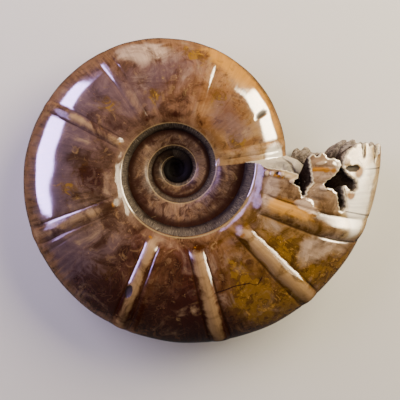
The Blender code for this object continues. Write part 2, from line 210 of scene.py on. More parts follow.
# Knobs of lighter shell along the broken edge.
KNOBS = (
    (355.2, 1.060, 0.0028, 0.0034, 0.0013),
    (359.0, 0.685, 0.0042, 0.0042, 0.0016),
    (358.8, 0.785, 0.0036, 0.0044, 0.0011),
    (358.6, 0.950, 0.0032, 0.0042, 0.0012),
    (357.6, 1.020, 0.0024, 0.0030, 0.0008),
    (353.6, 1.262, 0.0026, 0.0036, 0.0013),
    (363.4, 1.215, 0.0020, 0.0040, 0.0007),
    (362.6, 1.290, 0.0018, 0.0026, 0.0005),
    (363.2, 1.400, 0.0026, 0.0034, 0.0010),
)
# A smooth tongue of the flank's own shell, made of two domes.
TONGUE = ((345.4, 1.160, 0.0058, 0.0070, 0.0012), (343.6, 1.225, 0.0040, 0.0070, 0.0009))


def dome_reading(phi, q, domes):
    """Height of the domes in metres: the square root of one less the squared distance from a
    dome's middle, in its own two radii, times its height. Turned over, it is a hollow."""
    height = np.zeros(np.broadcast(phi, q).shape)
    for angle, at, along, across, highest in domes:
        x = (phi - math.radians(angle)) * mid_flank(phi) / along
        y = (q - at) * METRES_PER_Q / across
        height = np.maximum(height, highest * np.sqrt(np.clip(1 - x**2 - y**2, 0, 1)))
    return height


print("chips and scoops:", len(CHIPS + SCOOPS), "knobs:", len(KNOBS))

# %% Grooves between the fingers of the frill
# Each: q, degrees where it starts, and depth in metres.
GROOVES = (
    (1.565, 363.2, 0.0012), (1.71, 361.4, 0.0014), (1.79, 363.2, 0.0012), (1.90, 362.0, 0.0010),
)
GROOVE_WIDTH = 0.0012
GROOVE_DEEPENS = math.radians(1.2)  # over this angle a groove reaches its depth


def groove_reading(phi, q):
    """Depth of the grooves in metres: a bell across each one, deepening from its start."""
    depth = np.zeros(np.broadcast(phi, q).shape)
    for at, degrees, deepest in GROOVES:
        start = math.radians(degrees)
        bell = np.exp(-(((q - at) * METRES_PER_Q / GROOVE_WIDTH) ** 2))
        started = smooth_step(phi, start, start + GROOVE_DEEPENS)
        depth = np.maximum(depth, deepest * bell * started)
    return depth


print("grooves:", len(GROOVES))

# %% Relief
RIM_AT = 0.44  # q of the thin edge at the top of the umbilical wall
RIM_EDGE_HEIGHT, RIM_EDGE_WIDTH = 0.00036, 0.020  # metres, and in q
WAVE_HEIGHT = 0.00022
WAVES = ((11, 3, 0), (23, -7, 1), (6, 19, 2))  # each sine's count of phi, count of q, and start
WAVES_RISE = (0.46, 0.56)  # q over which the waves begin, past the rim


def relief(phi, q):
    """Rise above the smooth section in metres: ribs less furrows, plus three crossing sines for
    the polisher's waves, plus the rim's bell and the knobs, less the hollows and grooves."""
    across = np.minimum(q, 4 - q)
    venter = grown(VENTER_RADIUS, VENTER_GROWTH, phi)
    rib, furrow = rib_reading(phi, q)
    ribbing = RIB_HEIGHT * venter * (rib - FURROW_DEPTH * furrow)
    waves = sum(np.sin(round_coil * phi + over * q + start) for round_coil, over, start in WAVES)
    waves = WAVE_HEIGHT * waves / len(WAVES) * np.interp(across, WAVES_RISE, (0, 1))
    rim = RIM_EDGE_HEIGHT * np.exp(-(((across - RIM_AT) / RIM_EDGE_WIDTH) ** 2))
    hollows = np.maximum(dome_reading(phi, q, CHIPS + SCOOPS), groove_reading(phi, q))
    knobs = dome_reading(phi, q, KNOBS + TONGUE)
    return ribbing + venter / VENTER_RADIUS * (waves + rim) + knobs - hollows


ridge = float(relief(math.radians(RIBS[-1][1]), RIB_LEVELS[1]))
print("relief on the last rib, mm:", round(1000 * ridge, 1))

# %% A point of the shell


def shell_point(phi, q, w):
    """Position in metres from the middle of the coil. Inside the crest the section is a quarter
    of a superellipse, outside it a quarter of an ellipse; the relief rises along its normal; and
    w blends it with the outer flank of the turn before."""
    phi, q, w = np.broadcast_arrays(phi, q, w)
    across = np.minimum(q, 4 - q)
    venter, crest, half_width, seam = outline(phi)
    foot = seam_height(phi)
    inside = across < 1
    angle = np.where(inside, across, across - 1) * math.pi / 2
    along, rising = np.cos(angle), np.sin(angle)
    reach = (along**SHOULDER_POWER + rising**SHOULDER_POWER) ** (-1 / SHOULDER_POWER)
    inner_radius = crest - (crest - seam) * reach * along
    radius = np.where(inside, inner_radius, crest + (venter - crest) * rising)
    height = np.where(inside, foot + (half_width - foot) * reach * rising, half_width * along)

    outward = np.where(
        inside, -(along ** (SHOULDER_POWER - 1)) / (crest - seam), rising / (venter - crest)
    )
    upward = np.where(
        inside, rising ** (SHOULDER_POWER - 1) / (half_width - foot), along / half_width
    )
    rise = relief(phi, q) * (1 - w) / np.hypot(outward, upward)
    radius = radius + rise * outward
    height = height + rise * upward

    old_venter, old_crest, old_half_width, _ = outline(phi - FULL_TURN)
    start = (covered_from(phi - FULL_TURN) - 1) * math.pi / 2
    turned = start + (math.pi / 2 - start) * across / 2
    radius = radius + w * (old_crest + (old_venter - old_crest) * np.sin(turned) - radius)
    height = height + w * (old_half_width * np.cos(turned) - height)
    height = np.where(q > 2, -height, height)
    return np.stack([radius * np.cos(phi), radius * np.sin(phi), height], axis=-1)


tip = shell_point(END_PHI, 2.0, 0.0)
print("venter's end from the coil's middle, mm:", (1000 * tip).round(1))

# %% [markdown]
# ## The suture
# Where a chamber wall meets the shell it frills like the edge of a lettuce leaf, and the line of
# that joint is the suture. This shell broke along it, so its open end is all slots and lobes.
# A frill that doubles back on itself is no function of an angle, so it is a line of corners on
# the flank laid out flat. The corners are then rounded off twice, and fine scallops are added.

# %% Corners of the suture
# From the upper seam to the venter: q, and degrees of coil past the last full turn.
INNER_LEDGE = ((0.487, 6.4), (0.65, 2.3), (0.81, 1.6), (0.96, 1.0), (1.025, -0.1), (1.083, -1.5))
FIRST_SLOT = (
    (1.081, -2.9), (1.053, -4.2), (1.058, -6.1), (1.078, -6.9), (1.096, -6.9), (1.112, -9.0),
    (1.129, -11.2), (1.144, -12.0), (1.159, -11.0), (1.155, -7.4), (1.19, -5.2), (1.173, -2.3),
)
INNER_LOBE = (
    (1.155, 2.0), (1.142, 5.6), (1.15, 7.0), (1.171, 7.2), (1.186, 5.7), (1.203, 5.8),
    (1.216, 7.1), (1.236, 7.3), (1.252, 5.5), (1.27, 4.3), (1.292, 4.6), (1.324, 4.2),
    (1.359, 3.0), (1.361, 1.7), (1.332, -0.7),
)
GREAT_SLOT_LEFT_ARM = (
    (1.303, -2.3), (1.268, -3.6), (1.248, -5.4), (1.276, -7.2), (1.301, -6.3), (1.327, -7.0),
)
GREAT_SLOT_MIDDLE_ARM = (
    (1.362, -8.0), (1.382, -10.3), (1.405, -12.3), (1.432, -14.1), (1.456, -14.4), (1.477, -13.4),
    (1.483, -12.3), (1.464, -10.5), (1.432, -8.3), (1.40, -5.0),
)
GREAT_SLOT_RIGHT_ARM = (
    (1.436, -5.7), (1.468, -7.0), (1.505, -7.3), (1.54, -6.8), (1.544, -5.2), (1.509, -3.1),
    (1.457, -2.0),
)
OUTER_LOBE = (
    (1.40, 0.2), (1.377, 2.0), (1.391, 4.5), (1.414, 6.3), (1.446, 7.3), (1.477, 7.1), (1.50, 8.4),
    (1.525, 8.2), (1.535, 6.5), (1.541, 4.1), (1.555, 4.2), (1.564, 6.9), (1.582, 8.3),
    (1.605, 7.8), (1.621, 6.3), (1.659, 7.0), (1.70, 6.6), (1.719, 4.5), (1.738, 2.4),
    (1.754, 3.3), (1.765, 5.9), (1.802, 6.9), (1.854, 6.4),
)
VENTER_SLOT = ((1.878, 1.0), (1.90, -2.7), (1.918, -3.6), (1.939, -1.6), (1.97, 1.9), (2.0, 2.3))
GREAT_SLOT = GREAT_SLOT_LEFT_ARM + GREAT_SLOT_MIDDLE_ARM + GREAT_SLOT_RIGHT_ARM
SUTURE = ((0.0, math.degrees(END_ANGLE)),) + INNER_LEDGE + FIRST_SLOT + INNER_LOBE + GREAT_SLOT
SUTURE += OUTER_LOBE + VENTER_SLOT
print("corners:", len(SUTURE))

# %% The flat sheet
FLAT_PER_Q = (0.044, 0.110)  # metres for each unit of q, inside and outside the crest
FLAT_RADIUS = 0.130  # metres along the coil for each radian


def laid_flat(q, phi):
    """Metres on a flat sheet: each unit of q and each radian of phi has a fixed length."""
    before, after = FLAT_PER_Q
    round_section = np.where(q < 1, before * q, before + after * (q - 1))
    return np.stack([round_section, FLAT_RADIUS * (phi - FULL_TURN)], axis=-1)


def rolled_up(flat):
    """q and phi of places on the flat sheet: laid_flat read backwards."""
    before, after = FLAT_PER_Q
    q = np.where(flat[:, 0] < before, flat[:, 0] / before, 1 + (flat[:, 0] - before) / after)
    return q, FULL_TURN + flat[:, 1] / FLAT_RADIUS


venter_edge = laid_flat(np.array([2.0]), np.array([END_PHI]))[0]
print("the venter's end on the sheet, mm:", (1000 * venter_edge).round(1))

# %% The frilled line
SUTURE_STEP = 0.0008  # metres between its points
SCALLOP_LENGTH, SCALLOP_HEIGHT = 0.0044, 0.0008
SCALLOP_MEAN = 0.64  # of a rectified sine, 2 / pi; taken off, it leaves the line where it was
SCALLOPS_FADE = 0.02  # metres at each end over which the scallops grow
ROUNDINGS = 2  # times that the corners are cut off


def corners_rounded(line, times):
    """Chaikin's rule: each side keeps its middle half, which cuts every corner off."""
    for _ in range(times):
        near = 0.75 * line[:-1] + 0.25 * line[1:]
        far = 0.25 * line[:-1] + 0.75 * line[1:]
        middle = np.stack([near, far], axis=1).reshape(-1, 2)
        line = np.concatenate([line[:1], middle, line[-1:]])
    return line


def evenly_spaced(line, step):
    """The same line with points at equal lengths along it."""
    length = np.concatenate([[0], np.cumsum(np.linalg.norm(np.diff(line, axis=0), axis=1))])
    at = np.linspace(0, length[-1], round(length[-1] / step) + 1)
    return np.stack([np.interp(at, length, column) for column in line.T], axis=-1)


def scalloped(line, step):
    """Moves each point along the line's normal by a rectified sine of its length along it, less
    the sine's mean, and faded to nothing at both ends."""
    along = step * np.arange(len(line))
    tangent = np.gradient(line, axis=0)
    normal = np.stack([-tangent[:, 1], tangent[:, 0]], axis=-1)
    normal /= np.linalg.norm(normal, axis=1, keepdims=True)
    bulge = SCALLOP_HEIGHT * (SCALLOP_MEAN - np.abs(np.sin(math.pi * along / SCALLOP_LENGTH)))
    ends = np.clip(np.minimum(along, along[-1] - along) / SCALLOPS_FADE, 0, 1)
    return line + (bulge * ends)[:, None] * normal


suture_q, suture_degrees = np.array(SUTURE).T
suture = laid_flat(suture_q, FULL_TURN + np.radians(suture_degrees))
suture = evenly_spaced(corners_rounded(suture, ROUNDINGS), SUTURE_STEP)
suture = evenly_spaced(scalloped(suture, SUTURE_STEP), SUTURE_STEP)
suture_q, suture_phi = rolled_up(suture)
suture_q[0], suture_q[-1] = 0.0, 2.0
print("suture:", len(suture), "points on", round(len(suture) * SUTURE_STEP * 1000), "mm")

# %% [markdown]
# ## One closed skin
# The shell is a single closed mesh. It is gathered from grids, from strips that join rows with
# different numbers of points, and from one filled outline beside the suture. Separate pieces would
# be simpler, but would leave open seams between the turns. Each corner of a triangle also keeps
# the shell coordinates that its colour is read at: where one turn meets the next, the two sides
# share vertices but not colours.

# %% A gatherer for the mesh
POLISHED, BROKEN, WEATHERED = 0, 1, 2  # numbers of the three finishes


class Skin:
    """Vertices as places (phi, q, w), and triangles with the place that each corner reads."""

    def __init__(self):
        self.places = []
        self.count = 0
        self.triangles = []
        self.readings = []
        self.finishes = []

    def add(self, places):
        """The numbers of new vertices, in the shape of the array of places."""
        first, self.count = self.count, self.count + places[..., 0].size
        self.places.append(places.reshape(-1, 3))
        return np.arange(first, self.count).reshape(places.shape[:-1])

    def join(self, numbers, readings, turned, finish):
        """Triangles of vertex numbers, leaving out those with a repeated corner."""
        a, b, c = numbers.T
        whole = (a != b) & (b != c) & (a != c)
        order = [0, 1, 2] if turned else [2, 1, 0]
        self.triangles.append(numbers[whole][:, order])
        self.readings.append(readings[whole][:, order])
        self.finishes.append(np.full(whole.sum(), finish))

    def grid(self, numbers, readings, turned, finish=POLISHED):
        """Two triangles for each cell of a grid."""
        def cells(array, corners):
            rows, columns = array.shape[0] - 1, array.shape[1] - 1
            picked = [array[row : row + rows, column : column + columns] for row, column in corners]
            return np.stack(picked, axis=2).reshape(-1, 3, *array.shape[2:])

        for corners in (((0, 0), (1, 0), (1, 1)), ((0, 0), (1, 1), (0, 1))):
            self.join(cells(numbers, corners), cells(readings, corners), turned, finish)

    def strip(self, first, second, turned, finish=POLISHED):
        """Triangles between two rows, each (numbers, readings, position along the row): the next
        triangle always takes the point that comes next in position."""
        ends = np.concatenate([first[2][1:], second[2][1:]])
        takes_first = (np.arange(len(ends)) < len(first[2]) - 1)[np.argsort(ends, kind="stable")]
        i, j = np.cumsum(takes_first), np.cumsum(~takes_first)

        def corners(a, b):
            pick = takes_first.reshape(-1, *[1] * a.ndim)
            on_first = np.stack([a[i - 1], b[j], a[i]], axis=1)
            on_second = np.stack([a[i], b[j - 1], b[j]], axis=1)
            return np.where(pick, on_first, on_second)

        numbers = corners(first[0], second[0])
        self.join(numbers, corners(first[1], second[1]), turned, finish)


def place_grid(phi, q, w=0.0):
    """Places for every pair of a column's phi and a row's q."""
    return np.stack(np.broadcast_arrays(phi, q, w), axis=-1)


skin = Skin()
print("vertices so far:", skin.count)

# %% [markdown]
# ## Columns and rows
# A rib is about 15 mm wide and a plain stretch has nothing on it for 40 mm, so even columns would
# waste most of their points. The columns crowd at the ribs and the rows at the umbilical shoulder.

# %% Columns and rows
TURN_COLUMNS = (90, 150, 260, 490)  # from the innermost turn to the last
INNER_ROWS = {"upper": 30, "lower": 15}  # from a seam to where the next turn covers the flank
OUTER_ROWS = {"upper": 44, "lower": 20}  # from there to the venter
PATCH_ANGLE = math.radians(27.0)  # this much of the end is filled outline instead of grid
# Places where they crowd, the width of each crowd, and how much denser it is.
COLUMN_CROWDS = ([math.radians(rib[1]) for rib in RIBS], math.radians(6), 2.5)
ROW_CROWDS = ((0.29,), 0.09, 2.0)  # at the umbilical shoulder, as shares of the inner rows
SAMPLES = 4000  # on which the running total is worked out


def crowded(start, stop, count, places, width, pull):
    """count steps from start to stop. Their density is one, plus a bell of that height and width
    at each place; its running total is read backwards at equal steps."""
    at = np.linspace(start, stop, SAMPLES)
    density = 1 + pull * np.exp(-(((at[:, None] - np.array(places)) / width) ** 2)).sum(axis=1)
    total = np.concatenate([[0], np.cumsum((density[1:] + density[:-1]) / 2)])
    return np.interp(np.linspace(0, total[-1], count + 1), total, at)


turns = []
for number, columns in enumerate(TURN_COLUMNS):
    start = END_PHI - (len(TURN_COLUMNS) - number) * FULL_TURN
    turns.append(crowded(start, start + FULL_TURN, columns, *COLUMN_CROWDS))

last_phi = turns[-1]
patch_column = int(np.searchsorted(last_phi, END_PHI - PATCH_ANGLE))
print("columns of the last turn:", len(last_phi), "of which the grid keeps", patch_column + 1)

# %% [markdown]
# ## Turns of the coil
# One grid from the pit to the mouth would need as many columns in the pit as at the mouth, so each
# turn is a grid of its own. Each side is built from the last turn inwards. The row where a turn is
# covered is the seam row of the next one, so the two share their vertices and no gap can open.

# %% The last turn


def side_q(q, side):
    """The same level on either side: the lower one counts back from 4."""
    return q if side == "upper" else 4 - q


def build_last_turn(side, share, shared_venter):
    """Adds one side of the last turn: rows from its seam to where it will be covered, at these
    shares of the way, and then on to the venter. Its end is left free for the patch."""
    turned = side == "lower"
    split = covered_from(last_phi)[:, None]
    beyond = np.linspace(0, 1, OUTER_ROWS[side] + 1)
    q = np.concatenate([split * share, split + (2 - split) * beyond], axis=1)
    places = place_grid(last_phi[:, None], side_q(q, side))
    numbers = np.full(q.shape, -1)
    numbers[:, 0] = skin.add(places[:, 0])
    kept = patch_column + 1
    columns = slice(1, q.shape[1] - 1 if turned else q.shape[1])
    numbers[:kept, columns] = skin.add(places[:kept, columns])
    if turned:
        numbers[:kept, -1] = shared_venter[:kept]
    numbers[0, len(share)] = numbers[-1, 0]
    skin.grid(numbers[:kept], places[:kept], turned)
    return {"numbers": numbers, "places": places, "covered": len(share)}


row_shares = {side: crowded(0, 1, rows, *ROW_CROWDS)[:-1] for side, rows in INNER_ROWS.items()}
print("rows to where a turn is covered:", {side: len(row) for side, row in row_shares.items()})

# %% The turns inside it


def build_inner_turns(side, share, last):
    """Adds one side of the other turns. Each stops at the seam of the turn outside it, and the
    first closes on one point in the middle of the pit, whose number is noted."""
    turned = side == "lower"
    outer_numbers, outer_phi = last["numbers"], last_phi
    for phi in reversed(turns[:-1]):
        q = covered_from(phi)[:, None] * share
        places = place_grid(phi[:, None], side_q(q, side))
        numbers = np.empty(q.shape, int)
        numbers[:-1] = skin.add(places[:-1])
        numbers[-1] = outer_numbers[0, : len(share)]
        skin.grid(numbers, places, turned)
        under = outer_phi - FULL_TURN
        seam_places = place_grid(under, side_q(covered_from(under), side))
        covered_row = (numbers[:, -1], places[:, -1], phi)
        skin.strip(covered_row, (outer_numbers[:, 0], seam_places, under), turned)
        outer_numbers, outer_phi = numbers, phi

    middle = skin.add(place_grid(outer_phi[:1], side_q(np.zeros(1), side)))
    border = np.concatenate([outer_numbers[:, 0], outer_numbers[0, ::-1][:-1]])
    seam_places = place_grid(outer_phi, side_q(0 * outer_phi, side))
    border_places = np.concatenate([seam_places, places[0, ::-1][:-1]])
    along = np.linspace(0, 1, len(border))
    skin.strip((border, border_places, along), (middle, border_places[:1], along[:1]), turned)
    last["pit"] = int(middle[0])


upper = build_last_turn("upper", row_shares["upper"], None)
build_inner_turns("upper", row_shares["upper"], upper)
lower = build_last_turn("lower", row_shares["lower"], upper["numbers"][:, -1])
build_inner_turns("lower", row_shares["lower"], lower)
print("vertices of the coil:", skin.count)

# %% [markdown]
# ## Filling the flank beside the suture
# A grid can't follow a line that doubles back, but Blender's own constrained Delaunay routine can.
# It is given the outline and a field of points inside it, and it returns triangles that respect
# every side of the outline. The flat sheet is then rolled up again.

# %% Inside a loop, and away from a line


def inside_outline(points, loop):
    """Whether each point lies inside the loop: an odd number of sides pass to one side of it."""
    end = np.roll(loop, -1, axis=0)
    x, y = points[:, 0, None], points[:, 1, None]
    spans = (loop[:, 1] > y) != (end[:, 1] > y)
    rise = np.where(end[:, 1] == loop[:, 1], 1, end[:, 1] - loop[:, 1])
    crossing = loop[:, 0] + (y - loop[:, 1]) * (end[:, 0] - loop[:, 0]) / rise
    return (spans & (x < crossing)).sum(axis=1) % 2 == 1


def distance_to_line(points, line):
    """How far each point lies from the nearest side of an open line."""
    side = line[1:] - line[:-1]
    offset = points[:, None] - line[:-1]
    share = np.clip((offset * side).sum(axis=2) / (side**2).sum(axis=1), 0, 1)
    return np.linalg.norm(offset - share[..., None] * side, axis=2).min(axis=1)


square = np.array([(0.0, 0.0), (1.0, 0.0), (1.0, 1.0), (0.0, 1.0)])
middle = square.mean(axis=0, keepdims=True)
print("middle of a square, inside it:", inside_outline(middle, square)[0])
print("its distance from the sides:", distance_to_line(middle, square)[0])

# %% Filling a loop
PATCH_MARGIN = 0.45  # inner points stay this share of a step away from the outline
MERGE_WITHIN = 1e-9  # metres


def filled(loop, step):
    """Inner points on a triangular lattice, and the triangles that fill the loop."""
    low, high = loop.min(axis=0), loop.max(axis=0)
    across = np.arange(low[0], high[0], step)
    along = np.arange(low[1], high[1], step * math.sqrt(0.75))
    lattice = np.stack(np.meshgrid(across, along), axis=-1)
    lattice[1::2, :, 0] += step / 2
    lattice = lattice.reshape(-1, 2)
    lattice = lattice[inside_outline(lattice, loop)]
    closed = np.concatenate([loop, loop[:1]])
    inner = lattice[distance_to_line(lattice, closed) > PATCH_MARGIN * step]
    points = [Vector(point) for point in np.concatenate([loop, inner]).tolist()]
    sides = [(i, (i + 1) % len(loop)) for i in range(len(loop))]
    only_inside = 1
    result = delaunay_2d_cdt(points, sides, [], only_inside, MERGE_WITHIN)
    faces, own_numbers = result[2], result[3]
    return inner, np.array([[own_numbers[corner][0] for corner in face] for face in faces])


print("triangles that fill the square:", len(filled(square, 0.2)[1]))

# %% The patch of flank beside the suture
PATCH_STEP = {"upper": 0.00125, "lower": 0.0030}  # metres between points
VENTER_STEP = math.radians(0.8)


def build_patch(side, part, line_q, line_phi, line_numbers, venter_phi, venter_numbers):
    """Fills the outline: last column of the grid, venter, suture backwards, seam backwards."""
    numbers, places = part["numbers"], part["places"]
    column_q = np.minimum(places[patch_column, :, 1], 4 - places[patch_column, :, 1])
    seam = slice(len(last_phi) - 2, patch_column, -1)
    loop_q = np.concatenate([column_q, 2 + 0 * venter_phi, line_q[::-1], 0 * last_phi[seam]])
    loop_phi = np.concatenate(
        [0 * column_q + last_phi[patch_column], venter_phi, line_phi[::-1], last_phi[seam]]
    )
    inner, triangles = filled(laid_flat(loop_q, loop_phi), PATCH_STEP[side])
    inner_q, inner_phi = rolled_up(inner)
    inner_places = place_grid(inner_phi, side_q(inner_q, side))
    loop_numbers = np.concatenate(
        [numbers[patch_column], venter_numbers, line_numbers[::-1], numbers[seam, 0]]
    )
    all_numbers = np.concatenate([loop_numbers, skin.add(inner_places)])
    all_places = np.concatenate([place_grid(loop_phi, side_q(loop_q, side)), inner_places])
    skin.join(all_numbers[triangles], all_places[triangles], side == "upper", POLISHED)
    return len(triangles)


# The lower line takes every second point, because it faces the shelf.
taken = {"upper": slice(None), "lower": slice(None, None, 2)}
if len(suture_q) % 2 == 0:
    suture_q, suture_phi = np.delete(suture_q, -2), np.delete(suture_phi, -2)
steps = round((suture_phi[-1] - last_phi[patch_column]) / VENTER_STEP)
venter_phi = np.linspace(last_phi[patch_column], suture_phi[-1], steps + 1)[1:-1]
venter_numbers = skin.add(place_grid(venter_phi, 2.0))
line_numbers = {}
for side, part in (("upper", upper), ("lower", lower)):
    line_q, line_phi = suture_q[taken[side]], suture_phi[taken[side]]
    made = skin.add(place_grid(line_phi[1:-1], side_q(line_q[1:-1], side)))
    if side == "upper":
        on_venter = skin.add(place_grid(line_phi[-1:], 2.0))
    line = np.concatenate([part["numbers"][-1:, 0], made, on_venter])
    count = build_patch(side, part, line_q, line_phi, line, venter_phi, venter_numbers)
    line_numbers[side] = line
    print(side, "patch:", count, "triangles")

# %% [markdown]
# ## The chamber wall
# The wall is frilled only at its edge and calms down towards the middle. Straight lines from the
# edge to the middle would cross each other in the slots. Heat shows a better way: in a jagged
# temperature, short waves fade first. So each row inwards is the suture as a sum of sine waves,
# with every wave faded by its own length. It is a function of two parameters, the place along the
# suture and the depth.

# %% Calming a row
WALL_DEPTHS = (
    0.004, 0.010, 0.018, 0.030, 0.045, 0.065, 0.09, 0.12, 0.16, 0.21, 0.27, 0.34, 0.42, 0.51, 0.61,
    0.73, 0.87,
)  # w of each row
CALM_LENGTH = 0.013  # metres over which the frills have calmed where w is one
CALM_POWER = 0.9
STRAIGHT_DEPTH = 0.02  # down to this w the wall drops straight
LIP_BULGE, LIP_DEPTH = 0.0008, 0.045  # the rounded lip: metres outwards, and down to this w
ENDS_FADE = 20  # points from each seam over which the lip and the dish grow
DISH = math.radians(9.0)  # how far the wall's middle lies back
DISH_SIDES = (0.08, 0.42, 0.60, 1.0)  # w where the dish starts, is deepest, rises and ends


def calmed(values, spread, step):
    """A row of values with its waves faded: the straight line between its ends is taken off, the
    rest is a sum of sines, and a sine of wavelength L fades by exp(-(2 pi spread / L)^2 / 2)."""
    count = len(values) - 1
    base = np.linspace(values[0], values[-1], count + 1)
    waves = np.arange(1, count)
    table = np.sin(math.pi * np.outer(waves, np.arange(count + 1)) / count)
    strength = table @ (values - base) * 2 / count
    fade = np.exp(-((math.pi * waves * spread / (count * step)) ** 2) / 2)
    return base + (strength * fade) @ table


saw = np.array([0.0, 1.0, 0.0, 1.0, 0.0, 1.0, 0.0])
print("a saw, calmed:", calmed(saw, 0.5, 1.0).round(2))

# %% The chamber wall
ring_q = np.concatenate([suture_q, 4 - suture_q[-2::-1]])
ring_phi = np.concatenate([suture_phi, suture_phi[-2::-1]])
thinned = np.concatenate(
    [np.arange(len(suture_q)), np.arange(len(suture_q) + 1, len(ring_q), 2)]
)
rows = [np.concatenate([line_numbers["upper"], line_numbers["lower"][-2::-1]])]
row_places = [place_grid(ring_phi, ring_q)[thinned]]
ring_flat = laid_flat(ring_q, ring_phi)
outwards = np.gradient(ring_flat, axis=0)[:, ::-1] * (-1, 1)
outwards /= np.linalg.norm(outwards, axis=1, keepdims=True)
from_start = np.arange(len(ring_q))
away_from_ends = np.clip(np.minimum(from_start, from_start[::-1]) / ENDS_FADE, 0, 1)
for depth in WALL_DEPTHS:
    lip = LIP_BULGE * math.sin(math.pi * min(depth / LIP_DEPTH, 1)) * away_from_ends[:, None]
    lip_q, lip_phi = rolled_up(ring_flat + lip * outwards)
    spread = CALM_LENGTH * max(depth - STRAIGHT_DEPTH, 0) ** CALM_POWER
    calm_q, calm_phi = calmed(lip_q, spread, SUTURE_STEP), calmed(lip_phi, spread, SUTURE_STEP)
    calm_phi = calm_phi + (END_PHI - calm_phi) * depth**2
    dish = smooth_step(depth, *DISH_SIDES[:2]) * (1 - smooth_step(depth, *DISH_SIDES[2:]))
    calm_phi = calm_phi - DISH * dish * away_from_ends
    places = place_grid(calm_phi, calm_q, depth)[thinned]
    row = skin.add(places)
    row[0], row[-1] = rows[0][0], rows[0][-1]
    rows.append(row)
    row_places.append(places)
skin.grid(np.array(rows), np.array(row_places), False, BROKEN)
print("rows of the wall:", len(rows))

# %% The wall's foot
# It stands on the turn before, along the last turn's first column.
covered = upper["covered"], lower["covered"]
foot = np.concatenate(
    [upper["numbers"][0, covered[0] :], lower["numbers"][0, -2 : covered[1] - 1 : -1]]
)
foot_q = np.linspace(0, 4, len(foot))
foot_places = place_grid(END_PHI, foot_q, 1.0)
skin.strip(
    (rows[-1], row_places[-1], np.linspace(0, 1, len(rows[-1]))),
    (foot, foot_places, np.linspace(0, 1, len(foot))),
    False,
    BROKEN,
)
print("vertices in all:", skin.count)

# %% [markdown]
# ## Where it rests
# The shell leans until its lower flank bears on the shelf, and is worn flat where it does. The
# lean is one rotation about a level axis. Wear is simply no height below zero.

# %% Laying the shell down
REST_LEAN = math.radians(4.7)
REST_LEAN_TOWARDS = math.radians(198.0)  # the side that the lean lowers
COIL_POSITION = (-0.0231, 0.0199, 0.0447)  # metres, of the coil's middle
PIT_FLOOR = 0.5  # height of the pit's middle, as a share of that of the first seam


def at_rest(points):
    """Turned about a level axis by Rodrigues' formula, then moved to the coil's place."""
    axis = np.array([-math.sin(REST_LEAN_TOWARDS), math.cos(REST_LEAN_TOWARDS), 0.0])
    along = (points @ axis)[..., None] * axis
    across = np.cross(axis, points)
    turned = points * math.cos(REST_LEAN) + across * math.sin(REST_LEAN)
    return turned + along * (1 - math.cos(REST_LEAN)) + np.array(COIL_POSITION)


points = shell_point(*np.concatenate(skin.places).T)
pit_floor = PIT_FLOOR * float(seam_height(turns[0][0]))
points[upper["pit"]], points[lower["pit"]] = (0.0, 0.0, pit_floor), (0.0, 0.0, -pit_floor)
points = at_rest(points)
print("vertices worn flat:", int((points[:, 2] < 0).sum()))
points[:, 2] = np.maximum(points[:, 2], 0)

# %% What no wheel reached
# The walls of the umbilicus, and the first turns at the bottom of its pit.
PIT_PHI = math.radians(-620)  # the pit is all that lies before this angle
triangles = np.concatenate(skin.triangles)
readings = np.concatenate(skin.readings).reshape(-1, 3)
finishes = np.concatenate(skin.finishes)
mean_phi, mean_q = readings[:, :2].reshape(-1, 3, 2).mean(axis=1).T
unreached = (np.minimum(mean_q, 4 - mean_q) < RIM_AT) | (mean_phi < PIT_PHI)
finishes[unreached & (finishes == POLISHED)] = WEATHERED
print("triangles:", len(triangles), "of which weathered:", int((finishes == WEATHERED).sum()))
